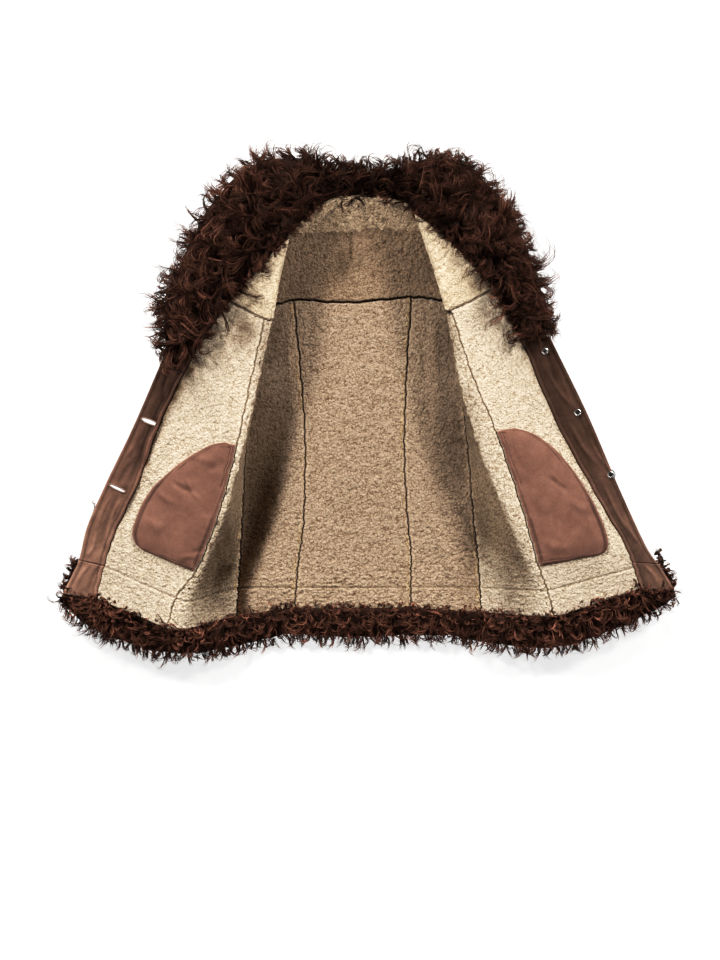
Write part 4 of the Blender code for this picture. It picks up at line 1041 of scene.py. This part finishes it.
# whipped edge of each buttonhole
rims = []
for gx, gy, gape in BUTTONHOLES:
    m = on_placket("L", gx, gy)
    turn = np.linspace(0, 2 * np.pi, 150)
    for k in range(149):
        a = turn[k]
        inner = Vector((math.cos(a) * (SLOT_LONG / 2 - 0.1 * MM), math.sin(a) * (gape / 2 - 0.1 * MM), 0.2 * MM))
        away = Vector((math.cos(a), math.sin(a) * SLOT_LONG / gape, 0)).normalized()
        outer = inner + away * 1.7 * MM
        path = [m @ (inner - Vector((0, 0, 1.2 * MM))), m @ (inner + Vector((0, 0, 0.25 * MM))), m @ (outer + Vector((0, 0, 0.3 * MM))), m @ (outer - Vector((0, 0, 0.8 * MM)))]
        c = np.array([tuple(q) for q in path])
        h = np.array(tuple(m.to_3x3() @ Vector((0, 0, 1))))
        t = unit(np.gradient(c, axis=0))
        b = unit(np.cross(np.repeat(np.array(tuple(m.to_3x3() @ Vector((-away.y, away.x, 0))))[None], 4, axis=0), t))
        side_v = np.cross(t, b)
        r = 0.28 * MM
        rims.append(np.stack([c + b * r, c + side_v * r, c - b * r, c - side_v * r], axis=1))
strips("buttonhole_stitches_top", rims[:149], THREAD_DARK, "suede", closed=True)
strips("buttonhole_stitches", rims[149:], thread_material("thread_hole", (0.30, 0.19, 0.14)), "suede", closed=True)

# ================================================================ pocket bags
bag_threads = []
for side, line, sign in (("L", SEAM_L, -1), ("R", SEAM_R, 1)):
    def bag_surface(u, v, side=side, line=line, sign=sign):
        t = 2.0 + 2.0 * v
        share = pchip(BAG_OUTLINE["station"], BAG_OUTLINE[side], np.clip(t, 2, 4))
        s = line + sign * (0.012 + (share - 0.012) * u)
        n = body_normal(s, t)
        p = body(s, t) + n * (folds(body(s, t), FOLDS, "front") + BAG_LIFT + BAG)[:, None]
        if sign < 0:
            n = n * 1.0
        return p, n, np.full(len(u), BAG)

    def bag_shape(p, edge, end, side=side):
        puff = 2.6 * MM * smooth(0, 26 * MM, np.minimum(edge, end))
        ease = noise(p, 40 * MM, 401) * 1.1 * MM + noise(p, 17 * MM, 402) * 0.55 * MM + noise(p, 7 * MM, 403) * 0.12 * MM
        rows = np.exp(-((np.minimum(edge, end) - 3.4 * MM) / (0.9 * MM)) ** 2) + np.exp(-((np.minimum(edge, end) - 6.6 * MM) / (0.9 * MM)) ** 2)
        pucker = noise(p, 5 * MM, 405) * 0.5 * MM * (1 - smooth(4 * MM, 12 * MM, np.minimum(edge, end)))
        return 1.2 * MM + puff + ease * smooth(0, 14 * MM, np.minimum(edge, end)) + 1.4 * folds(p, BAG_FOLDS, side) - 0.45 * MM * rows + pucker

    def bag_colour(p, edge, end, inner):
        d = np.minimum(edge, end)
        # painted highlight on the puffed strip between the stitch rows, painted shade in the stitch grooves, lighter at
        # the very edge, with random tone
        relief_light_and_tone = 1 + 0.25 * np.exp(-((d - 5.0 * MM) / (0.9 * MM)) ** 2) + 0.20 * np.exp(-(d / (1.5 * MM)) ** 2) + 0.12 * noise(p, 34 * MM, 410) + 0.06 * noise(p, 9 * MM, 411)
        relief_light_and_tone -= 0.55 * (np.exp(-((d - 3.4 * MM) / (0.7 * MM)) ** 2) + np.exp(-((d - 6.6 * MM) / (0.7 * MM)) ** 2))
        return relief_light_and_tone[:, None] * np.array([1.0, 1.0, 1.0])

    o, flat, area = shell("pocket_cotton_" + side, bag_surface, 2.4 * MM, bag_shape, bag_colour, roll=1.4 * MM)
    piece(o, COTTON, "cotton", "pocket_bag_" + side)
    v = np.linspace(0.02, 0.985, 260)
    across, along, _ = sized(bag_surface)
    width = np.interp(v, np.linspace(0, 1, len(across)), across)
    for inset in (3.4 * MM, 6.6 * MM):
        u = np.clip(1 - inset / np.maximum(width, inset * 1.2), 0, 1)
        keep = width > 14 * MM
        p, n = surface_path(bag_surface, u[keep], np.clip(v[keep], inset / along.mean(), 1), 0.0)
        h = bag_shape(p, np.full(len(p), inset), np.full(len(p), 1.0)) * smooth(0, 4 * MM, inset)
        bag_threads.append((p + n * h[:, None], n))
        u = np.linspace(0.05, 1 - inset / width[0], 120)
        p, n = surface_path(bag_surface, u, np.full(120, inset / along.mean()), 0.0)
        h = bag_shape(p, np.full(120, 1.0), np.full(120, inset)) * smooth(0, 4 * MM, inset)
        bag_threads.append((p + n * h[:, None], n))
strips("pocket_stitches", stitches(bag_threads, 2.6 * MM, 1.2 * MM, 0.46 * MM), thread_material("thread_pocket", (0.060, 0.022, 0.018)), "cotton", closed=True)


# ================================================================ curly fur
def fur(name, roots, normal, flow, length, bend, strands, spread, seed, low_z=0.0, high_z=0.1115, half=0.50 * MM,
        rise=0.42, fall=0.22, segments=12, bright=1.0):
    """Curled locks: each root grows some ribbons that turn together, by bend radians in all, and thin out at the tip."""
    rng = np.random.default_rng(seed)
    m = len(roots)
    T = np.linspace(0, 1, segments + 1)[None]
    mid_T = (T[:, 1:] + T[:, :-1]) / 2
    normal, flow = unit(normal), unit(flow)
    side = unit(np.cross(normal, flow))
    flow = unit(np.cross(side, normal))
    total = bend * rng.choice([-1.0, 1.0], m)
    onset = rng.uniform(0.9, 1.7, m)
    wave, beats, phase = rng.uniform(0.1, 0.7, m), rng.uniform(0.8, 2.0, m), rng.uniform(0, 2 * np.pi, m)
    lean = rng.normal(0, 0.6, m)                         # curls that stand out of the pelt
    idx = np.repeat(np.arange(m), strands)
    k = len(idx)
    col = lambda v: v[idx][:, None]
    each = lambda spread_by, centre=0.0: rng.normal(centre, spread_by, k)[:, None]
    long = col(length) * rng.uniform(0.74, 1.10, k)[:, None]
    head = (col(total) * each(0.07, 1.0) * mid_T ** col(onset) + each(0.09)
            + col(wave) * np.sin(2 * np.pi * col(beats) * mid_T + col(phase) + each(0.12)))
    start = np.zeros((k, 1))
    ahead = np.concatenate([start, np.cumsum(np.cos(head) * long / segments, axis=1)], axis=1)
    aside = np.concatenate([start, np.cumsum(np.sin(head) * long / segments, axis=1)], axis=1)
    off = rng.normal(0, 1, (k, 2)) * spread
    close = 1 - 0.70 * T ** 0.7
    a_side = aside * np.cos(col(lean)) + off[:, :1] * close
    a_norm = long * rise * np.sin(np.pi * 0.66 * T) * 0.8 + aside * np.sin(col(lean)) + off[:, 1:] * close * 0.8
    a_flow = ahead + off[:, 1:] * close * 0.3
    c = (roots[idx][:, None] + side[idx][:, None] * a_side[..., None] + normal[idx][:, None] * a_norm[..., None] + flow[idx][:, None] * a_flow[..., None])
    c[..., 2] -= fall * long * T ** 2
    over = c[..., 2] - (high_z - 6 * MM)
    c[..., 2] = np.where(over > 0, high_z - 6 * MM + 6 * MM * np.tanh(over / (6 * MM)), c[..., 2])
    c[..., 2] = np.maximum(c[..., 2], low_z + 0.6 * MM)
    tangent = unit(np.gradient(c, axis=1))
    round_off = np.clip(off / spread, -1.8, 1.8)
    face = unit(normal[idx] * 0.8 + np.array([0, 0, 0.4]) + side[idx] * round_off[:, :1] * 0.7 + rng.normal(0, 0.25, (k, 3)))[:, None]
    across = unit(np.cross(tangent, face))
    w = half * rng.uniform(0.7, 1.3, k)[:, None] * (1 - 0.75 * T ** 2.0)
    verts = np.stack([c - across * w[..., None], c + across * w[..., None]], axis=2)
    rows = segments + 1
    a = (np.arange(k) * rows * 2)[:, None] + (np.arange(segments) * 2)[None]
    quads = np.stack([a, a + 1, a + 3, a + 2], axis=-1).reshape(-1, 4)
    dark, mid, tip = np.array([0.0050, 0.0021, 0.0016]), np.array([0.043, 0.0185, 0.0125]), np.array([0.165, 0.080, 0.055])
    lock = col(rng.uniform(0.30, 1.75, m)) * rng.uniform(0.6, 1.4, k)[:, None] * bright
    # painted shade towards the roots and deep in each lock, painted light towards the tips and on the outer strands,
    # with banded glints along each strand
    depth = 0.16 * np.clip(off[:, 1:] / spread, -1.5, 1.5)
    glow = np.clip(0.0 + 0.76 * T + 0.20 * np.sin(4.5 * T + col(phase)) * T + depth, 0, 1)[..., None]
    shade = np.where(glow < 0.5, dark + (mid - dark) * (glow * 2), mid + (tip - mid) * (glow * 2 - 1)) * lock[..., None]
    gx, gy = grid_xy(roots)[:2]
    dull = np.interp(gy, (160, 200, 260), (0.46, 0.32, 0.0)) * np.interp(gx, (275, 325, 405, 450), (0.25, 1.0, 1.0, 0.45))
    shade = shade * (1.0 - dull)[idx][:, None, None]      # duller round the back of the neck
    shade = np.repeat(shade[:, :, None], 2, axis=2)
    return mesh_object(name, verts.reshape(-1, 3), quads, colours=shade.reshape(-1, 3))


def trim_frame(rows):
    """Reads a table of neck and edge points at any place k: inner, outer, low, high, unit outward, unit along."""
    table = np.array(rows, float)
    ks = np.arange(len(table), dtype=float)

    def at(k):
        r = pchip(ks, table, k)
        inner, outer = place(r[:, 0], r[:, 1], 0), place(r[:, 2], r[:, 3], 0)
        e = 0.05
        d = pchip(ks, table, np.clip(k + e, 0, ks[-1])) - pchip(ks, table, np.clip(k - e, 0, ks[-1]))
        along = unit(place(d[:, 0] + d[:, 2], d[:, 1] + d[:, 3], 0) - place(0, 0, 0))
        return inner, outer, r[:, 4] * MM, r[:, 5] * MM, unit(outer - inner), along
    return at, len(table) - 1


CORE_MID, CORE_HALF = 0.36, 0.24      # height of the underfur within the reach of the fur


def crown(a, out=1.0):
    """Rounded cross-section of the underfur, a from the inner edge (0) to the outer one (out)."""
    return np.clip(1 - np.abs(2 * np.clip(a / out, 0, 1) - 1) ** 2.4, 0, 1) ** (1 / 2.4)


def fur_core(name, rows, shrink, seed, tone=1.0):
    """Underfur that the locks grow from, painted near black as the shade deep in the pelt."""
    at, last = trim_frame(rows)
    n, sides = last * 9, 28
    k = np.linspace(0, last, n)
    inner, outer, low, high, out, along = at(k)
    ang = np.linspace(0, 2 * np.pi, sides + 1)[:sides]
    f = lambda w: np.sign(w) * np.abs(w) ** (2 / 2.4)
    mid, span = (inner + outer) / 2, np.linalg.norm(outer - inner, axis=1)
    half = np.maximum(span / 2 - shrink / 2, span * 0.22)
    p = mid[:, None] + out[:, None] * (half[:, None] * f(np.cos(ang))[None] - shrink / 2)[..., None]
    p[..., 2] = (low + (high - low) * CORE_MID)[:, None] + ((high - low) * CORE_HALF)[:, None] * f(np.sin(ang))[None]
    flat = p.reshape(-1, 3)
    centre = mid.repeat(sides, axis=0)
    centre[:, 2] = p[..., 2].mean(axis=1).repeat(sides)
    near, _, _ = cells(flat, 9 * MM, seed)
    flat = flat + unit(flat - centre) * ((0.4 - near) * 5.0 * MM)[:, None]
    flat[:, 2] = np.maximum(flat[:, 2], 0.4 * MM)
    caps = np.concatenate([flat, flat[:sides].mean(axis=0)[None], flat[-sides:].mean(axis=0)[None]])
    ring = np.arange(sides)
    first, end = n * sides, n * sides + 1
    tris = np.concatenate([np.stack([np.full(sides, first), (ring + 1) % sides, ring], axis=1),
                           np.stack([np.full(sides, end), (n - 1) * sides + ring, (n - 1) * sides + (ring + 1) % sides], axis=1)])
    # painted shade: the underfur is near black, a little lighter on the tops of its bumps
    shade = tone * np.array([0.0075, 0.0030, 0.0022]) * (0.5 + 0.9 * np.concatenate([1 - near, [0.5, 0.5]]))[:, None]
    return mesh_object(name, caps, grid_quads(n, sides, wrap=True), tris, colours=shade)


def fur_roots(rows, count, k0, k1, seed, a0, a1, tipward, lengths, over, inward, lap=3.6 * MM, stray=1.0):
    """Roots over a trim: place, normal, flow and length of each lock."""
    r = np.random.default_rng(seed)
    at, last = trim_frame(rows)
    fine = np.linspace(k0, k1, 400)
    inner, outer, *_ = at(fine)
    step = np.concatenate([[0], np.linalg.norm(np.diff((inner + outer) / 2, axis=0), axis=1)]) * np.linalg.norm(outer - inner, axis=1)
    k = np.interp((np.arange(count) + r.uniform(0, 1, count)) / count, np.cumsum(step) / step.sum(), fine)
    a = r.uniform(a0, a1, count)
    inner, outer, low, high, out, along = at(k)
    span = np.linalg.norm(outer - inner, axis=1)
    root = inner + (outer - inner) * a[:, None]
    root[:, 2] = low + (high - low) * (CORE_MID - 0.04 + (CORE_HALF - 0.02) * crown(a, 0.88))
    tilt = (a - 0.42) * 1.8
    normal = np.array([0, 0, 1.0]) * np.cos(tilt)[:, None] + out * np.sin(tilt)[:, None]
    toward = np.where(k < last / 2, -1.0, 1.0) * smooth(0.0, 0.55, np.abs(k - last / 2) / (last / 2)) * tipward
    swirl = noise(root, 32 * MM, 77) * 0.8 + noise(root, 13 * MM, 78) * 0.8
    back = r.uniform(0, 1, count) < inward * (1 - smooth(0.05, 0.34, a))
    lead = np.where(back, -0.9, 0.9)
    flow = out * lead[:, None] + along * (toward + stray * (swirl + r.normal(0, 0.45, count)))[:, None]
    room = np.where(back, (a - a0) * span + lap, (1 - a) * span + over)
    length = np.clip(r.uniform(lengths[0], lengths[1], count) * MM, 8 * MM, np.where(back, np.minimum(room, 13 * MM + a * span), room * 1.12 + 3 * MM))
    # tight ringlets inside, open hooks along the outline
    free = smooth(0.55, 0.9, a)
    bend = r.uniform(0.9 - 0.4 * free, 5.4 - 2.9 * free, count)
    return root, normal, flow, length * (1 + 0.11 * bend), bend


for half, k0, k1 in (("L", 0.0, 9.6), ("R", 9.4, 20.0)):
    seed = 21 if half == "L" else 22
    over = 9 * MM if half == "L" else 3 * MM
    root, normal, flow, length, bend = fur_roots(COLLAR, 600, k0, k1, seed, -0.03, 0.95, 0.8, (24, 38), over, 0.75, 9 * MM)
    piece(fur("fur_collar_curls_" + half, root, normal, flow, length, bend, 9, 1.9 * MM, seed + 5, rise=0.50, segments=10), FUR, "fur", "collar")
    root, normal, flow, length, bend = fur_roots(COLLAR, 230, k0, k1, seed + 50, 0.02, 0.80, 0.7, (38, 58), over + 2 * MM, 0.55, 8 * MM)
    piece(fur("fur_collar_locks_" + half, root, normal, flow, length, bend * 0.6, 10, 1.9 * MM, seed + 55, rise=0.46, segments=10, bright=1.15), FUR, "fur", "collar")
piece(fur_core("fur_collar_core", [(x0 + (x0 - x1) * 0.05, y0 + (y0 - y1) * 0.05, x1, y1, lo, hi) for x0, y0, x1, y1, lo, hi in COLLAR], 9 * MM, 91),
      FUR, "fur", "collar")
# the two wing ends hang down over the plackets
for side, x0, y0, x1, y1, z, tilt in (("L", 167, 352, 194, 349, 66, -0.10), ("R", 514, 328, 549, 329, 66, 0.22)):
    r = np.random.default_rng(101 if side == "L" else 102)
    n = 70
    w = r.uniform(0, 1, n)
    root = place(x0 + (x1 - x0) * w, y0 + (y1 - y0) * w - r.uniform(0, 12, n), z + r.uniform(-2, 8, n))
    flow = np.column_stack([tilt + r.normal(0, 0.35, n), -np.ones(n), np.zeros(n)])
    piece(fur("fur_wing_end_" + side, root, np.repeat(np.array([[0, -0.25, 1.0]]), n, axis=0), flow, r.uniform(18, 30, n) * MM, r.uniform(0.6, 3.2, n),
              9, 1.8 * MM, 103, rise=0.35, segments=9), FUR, "fur", "collar")

HEM_LEVEL = ((62, 95.5, 167, 182, 236, 294, 411, 481.5, 546, 554, 641, 675), (36, 40, 55, 57, 13, 8, 8, 13, 57, 55, 40, 36))
for number, (name, rows) in enumerate(HEM_TRIM.items()):
    root, normal, flow, length, bend = fur_roots(rows, 410, 0.0, len(rows) - 1.0, 33 + number, -0.10, 0.95, 0.0, (16, 27), 6 * MM, 0.30, stray=0.60)
    piece(fur("fur_" + name, root, normal, flow, length, bend * 0.62, 6, 1.25 * MM, 37 + number, rise=0.42, segments=8, half=0.47 * MM, bright=1.8), FUR, "fur", name)
    root, normal, flow, length, bend = fur_roots(rows, 210, 0.0, len(rows) - 1.0, 53 + number, -0.26, 0.30, 0.0, (10, 16), 9 * MM, 0.9)
    x = grid_xy(root)[0]
    root[:, 2] = np.maximum(root[:, 2], (np.interp(x, *HEM_LEVEL) + 0.5) * MM)
    piece(fur("fur_inner_" + name, root, normal, flow, length, bend * 1.15, 6, 1.15 * MM, 57 + number, rise=0.45, segments=8, half=0.47 * MM, bright=1.8), FUR, "fur", name)
around = HEM_TRIM["hem_trim_L"][:-1] + HEM_TRIM["hem_trim_back"] + HEM_TRIM["hem_trim_R"][1:]
wide = [(x0 + (x0 - x1) * 0.10, y0 + (y0 - y1) * 0.10, x1, y1, lo, hi) for x0, y0, x1, y1, lo, hi in around]
piece(fur_core("core_hem", wide, 6 * MM, 95, 1.5), FUR, "fur", *HEM_TRIM)

# curls that reach out beside the two placket ends
for side, name, x0, y0, x1, y1, z in (("L", "hem_trim_L", 68, 592, 77, 561, 24), ("R", "hem_trim_R", 671, 590, 657, 552, 24)):
    r = np.random.default_rng(81 if side == "L" else 82)
    n = 46
    w = r.uniform(0, 1, n)
    root = place(x0 + (x1 - x0) * w + r.normal(0, 1.5, n), y0 + (y1 - y0) * w, z + r.uniform(0, 10, n))
    out = np.repeat(np.array([[-1.0 if side == "L" else 1.0, -0.25, 0.0]]), n, axis=0)
    flow = out + np.array([0, 1.0, 0]) * r.normal(0, 0.6, n)[:, None]
    normal = np.repeat(np.array([[0, 0, 1.0]]), n, axis=0) + 0.4 * out
    piece(fur("fur_corner_" + side, root, normal, flow, r.uniform(14, 24, n) * MM, r.uniform(1.5, 6.0, n), 10, 1.5 * MM, 83, rise=0.4, segments=9), FUR, "fur", name)


# wisps of the cuffs that show past the front edges
for side, x, y, out in (("L", 95, 511, -1.0), ("R", 633, 535, 1.0)):
    r = np.random.default_rng(111 if side == "L" else 112)
    n = 9
    root = place(x + r.normal(0, 1.0, n), y + r.uniform(-9, 9, n), 26 + r.uniform(0, 8, n))
    flow = np.column_stack([np.full(n, out), r.normal(0.3, 0.5, n), np.zeros(n)])
    piece(fur("fur_wisps_" + side, root, np.repeat(np.array([[0.3 * out, 0, 1.0]]), n, axis=0), flow, r.uniform(6, 11, n) * MM, r.uniform(1.0, 4.5, n),
              3, 0.7 * MM, 113, rise=0.2, segments=9, half=0.34 * MM, bright=2.2), FUR, "fur")

# loose thread ends: grid x, grid y, height mm
LOOSE = (((140, 472, 63), (145, 478, 66), (149, 480, 66), (155, 488, 64)), ((150, 480, 65), (153, 483, 67), (158, 483, 65)),
         ((502, 438, 79), (508, 446, 81), (506, 453, 80), (511, 458, 78)), ((589, 482, 63), (594, 487, 66), (590, 494, 63)),
         ((226, 436, 79), (232, 440, 81), (240, 438, 80)))
loose = []
for row in LOOSE:
    row = np.array(row, float)
    c = pchip(np.arange(len(row), dtype=float), place(row[:, 0], row[:, 1], row[:, 2]), np.linspace(0, len(row) - 1, 24))
    t = unit(np.gradient(c, axis=0))
    b = unit(np.cross(t, np.array([0, 0, 1.0])))
    h = np.cross(b, t)
    loose.append(np.stack([c + b * 0.32 * MM, c + h * 0.32 * MM, c - b * 0.32 * MM, c - h * 0.32 * MM], axis=1))
strips("loose_threads", loose, THREAD_BROWN, "suede", closed=True)


# ================================================================ sleeves and cuffs
def tube_surface(rows, power=3.0):
    table = np.array(rows, float)
    k = np.arange(len(table), dtype=float)

    def ring(u, v, inset):
        r = pchip(k, table, v * (len(table) - 1))
        angle = 2 * np.pi * (u % 1.0)
        f = lambda w: np.sign(w) * np.abs(w) ** (2 / power)
        head = unit(r[:, 2:4])
        side = f(np.cos(angle)) * (r[:, 4] / 2 - inset / UNIT)
        return place(r[:, 0] - head[:, 1] * side, r[:, 1] + head[:, 0] * side, r[:, 5] / 2 + f(np.sin(angle)) * (r[:, 5] / 2 - inset / MM))
    return ring


def hollow(name, ring, wall, sides, rings, shape=None):
    """Closed wall of a tube: along the outside, round the rim and back inside."""
    j = np.arange(2 * rings)
    inside = j >= rings
    v = np.where(inside, 2 * rings - 1 - j, j) / (rings - 1)
    u = np.arange(sides) / sides
    U, V = np.meshgrid(u, v)
    inset = np.repeat(np.where(inside, wall, 0.0), sides)
    p = ring(U.ravel(), V.ravel(), inset)
    if shape is not None:
        centre = ring(np.concatenate([U.ravel()]), V.ravel(), inset * 0 + 0.012)
        n = unit(p - centre)
        p = p + n * (shape(p) * np.where(np.repeat(inside, sides), 0.4, 1.0))[:, None]
        p[:, 2] = np.maximum(p[:, 2], 0.0)
    quads = np.concatenate([grid_quads(2 * rings, sides, wrap=True),
                            np.stack([(2 * rings - 1) * sides + np.arange(sides), (2 * rings - 1) * sides + (np.arange(sides) + 1) % sides,
                                      (np.arange(sides) + 1) % sides, np.arange(sides)], axis=1)])
    return mesh_object(name, p, quads)


for side, rows in SLEEVES.items():
    ring = tube_surface(rows)

    def wrinkles(p):
        return -np.abs(noise(p * np.array([0.7, 1.5, 1.0]), 26 * MM, 501)) * 2.2 * MM + noise(p, 12 * MM, 502) * 0.35 * MM - 0.2 * MM

    o = hollow("sleeve_suede_" + side, ring, SLEEVE_WALL, 48, 60, wrinkles)
    piece(o, SUEDE_OUT, "suede", "sleeve_" + side)
    U, V = np.meshgrid(np.linspace(0, 1, 97), np.linspace(0, 1, 61))
    mid = ring(U.ravel(), V.ravel(), np.full(U.size, SLEEVE_WALL / 2)).reshape(61, 97, 3)
    x, y, hx, hy, width, height = rows[-1]
    norm = math.hypot(hx, hy)
    hx, hy = hx / norm, hy / norm
    start = 2 * GAP / UNIT
    cuff_rows = [(x + hx * d, y + hy * d, hx, hy, width + CUFF_GROW * d / CUFF_LENGTH, height + 1.0 * d / CUFF_LENGTH) for d in (start, CUFF_LENGTH / 2, CUFF_LENGTH)]
    cuff = tube_surface(cuff_rows)
    core = hollow("cuff_core_" + side, lambda u, v, inset, f=cuff: f(u, v, inset + 3 * MM), CUFF_WALL - 4 * MM, 48, 24,
                  lambda p: (0.5 - cells(p, 8 * MM, 97)[0]) * 2.5 * MM)
    # the cuff's underfur is painted near black, as the shade deep in the pelt
    shade = core.data.color_attributes.new("tint", "FLOAT_COLOR", "POINT")
    shade.data.foreach_set("color", np.tile(np.array([0.014, 0.006, 0.004, 1.0], np.float32), len(core.data.vertices)))
    piece(core, FUR, "fur", "cuff_" + side)
    r = np.random.default_rng(61 if side == "L" else 62)
    count = 130
    u, v = r.uniform(0, 1, count), r.uniform(0.02, 0.98, count)
    p = cuff(u, v, np.full(count, 4 * MM))
    q = cuff(u, v, np.full(count, 10 * MM))
    normal = unit(p - q)
    heading = np.repeat(np.array([[hx, -hy, 0.0]]), count, axis=0)
    flow = heading + 0.6 * noise(p, 15 * MM, 63)[:, None] * np.cross(normal, heading)
    o = fur("fur_cuff_" + side, p, normal, flow, r.uniform(20, 30, count) * MM, r.uniform(1.2, 5.0, count), 6, 2.0 * MM, 65,
            rise=0.25, fall=0.1, high_z=(height + 3) * MM, half=0.8 * MM, segments=7)
    piece(o, FUR, "fur", "cuff_" + side)

# ================================================================ buttons
for k in (1, 2, 3):
    node = nodes[f"button_{k}"]
    node.data.materials.clear()
    node.data.materials.append(METAL)
    m = on_placket("R", *BUTTONS[k - 1])
    ang = np.linspace(0, 2 * np.pi, 25)[:24]
    rings = []
    for radius, height in ((2.45, 0.62), (2.2, 0.72), (1.15, 0.78), (0.95, 1.35), (0.45, 1.62), (0.02, 1.66)):
        rings.append(np.array([tuple(m @ Vector((math.cos(a) * radius * MM, math.sin(a) * radius * MM, height * MM))) for a in ang]))
    grid = np.stack(rings)
    cap = mesh_object(f"button_rivet_{k}", grid.reshape(-1, 3), grid_quads(6, 24, wrap=True))
    piece(cap, RAW, "suede")

# ================================================================ floor, light, camera
floor_mesh = bpy.data.meshes.new("floor")
floor_mesh.from_pydata([(-6, -6, -0.0004), (6, -6, -0.0004), (6, 6, -0.0004), (-6, 6, -0.0004)], [], [(0, 1, 2, 3)])
floor = bpy.data.objects.new("floor", floor_mesh)
scene.collection.objects.link(floor)
paper = Nodes("paper", (0.50, 0.50, 0.50), 0.95, spec=0.0)
paper.b.inputs["Emission Color"].default_value = (1, 1, 1, 1)
paper.b.inputs["Emission Strength"].default_value = 0.66      # a lit white table
floor_mesh.materials.append(paper.done(paper.ramp(paper.noise(3, 2), (0.0, (0.49, 0.49, 0.49)), (1.0, (0.51, 0.51, 0.51)))))


def lamp(name, where, size, power, colour, aim=(0, 0, 0.02)):
    data = bpy.data.lights.new(name, "AREA")
    data.shape, data.size, data.energy, data.color = "DISK", size, power, colour
    o = bpy.data.objects.new(name, data)
    scene.collection.objects.link(o)
    o.location = where
    o.rotation_euler = (Vector(aim) - Vector(where)).to_track_quat("-Z", "Y").to_euler()
    return o


lamp("key_left", (-3.15, 2.32, 2.85), 0.75, 222, (1.0, 0.985, 0.965))
lamp("key_right", (3.15, 2.32, 2.85), 0.75, 186, (1.0, 0.98, 0.955))
lamp("low_back", (0.1, 4.35, 1.28), 1.0, 110, (1.0, 0.99, 0.97))
lamp("top_fill", (0.0, -0.6, 3.6), 2.4, 11, (1.0, 1.0, 1.0))
world = bpy.data.worlds.new("studio")
world.use_nodes = True
world.node_tree.nodes["Background"].inputs["Color"].default_value = (1, 1, 1, 1)
world.node_tree.nodes["Background"].inputs["Strength"].default_value = 0.06
scene.world = world
scene.view_settings.view_transform = "Standard"
scene.view_settings.look = "None"
scene.view_settings.exposure = 0.0
scene.view_settings.use_curve_mapping = True      # a contrasty print
tone_curve = scene.view_settings.curve_mapping
for at, to in ((0.04, 0.024), (0.15, 0.115), (0.35, 0.36), (0.62, 0.69)):
    tone_curve.curves[3].points.new(at, to)
tone_curve.update()

camera = bpy.data.cameras.new("camera")
camera.lens, camera.sensor_width = 145, 36
camera.clip_end = 50
eye = bpy.data.objects.new("camera", camera)
scene.collection.objects.link(eye)
centre = place(360, 480, 40)
eye.location = (centre[0], centre[1], 0.04 + 960 * UNIT * 145 / 36)
eye.rotation_euler = (0, 0, 0)
scene.camera = eye

total = sum(sum(len(f.vertices) - 2 for f in o.data.polygons) for o in MADE)
print("triangles added:", total, {o.name: sum(len(f.vertices) - 2 for f in o.data.polygons) for o in MADE if len(o.data.polygons) > 20000})
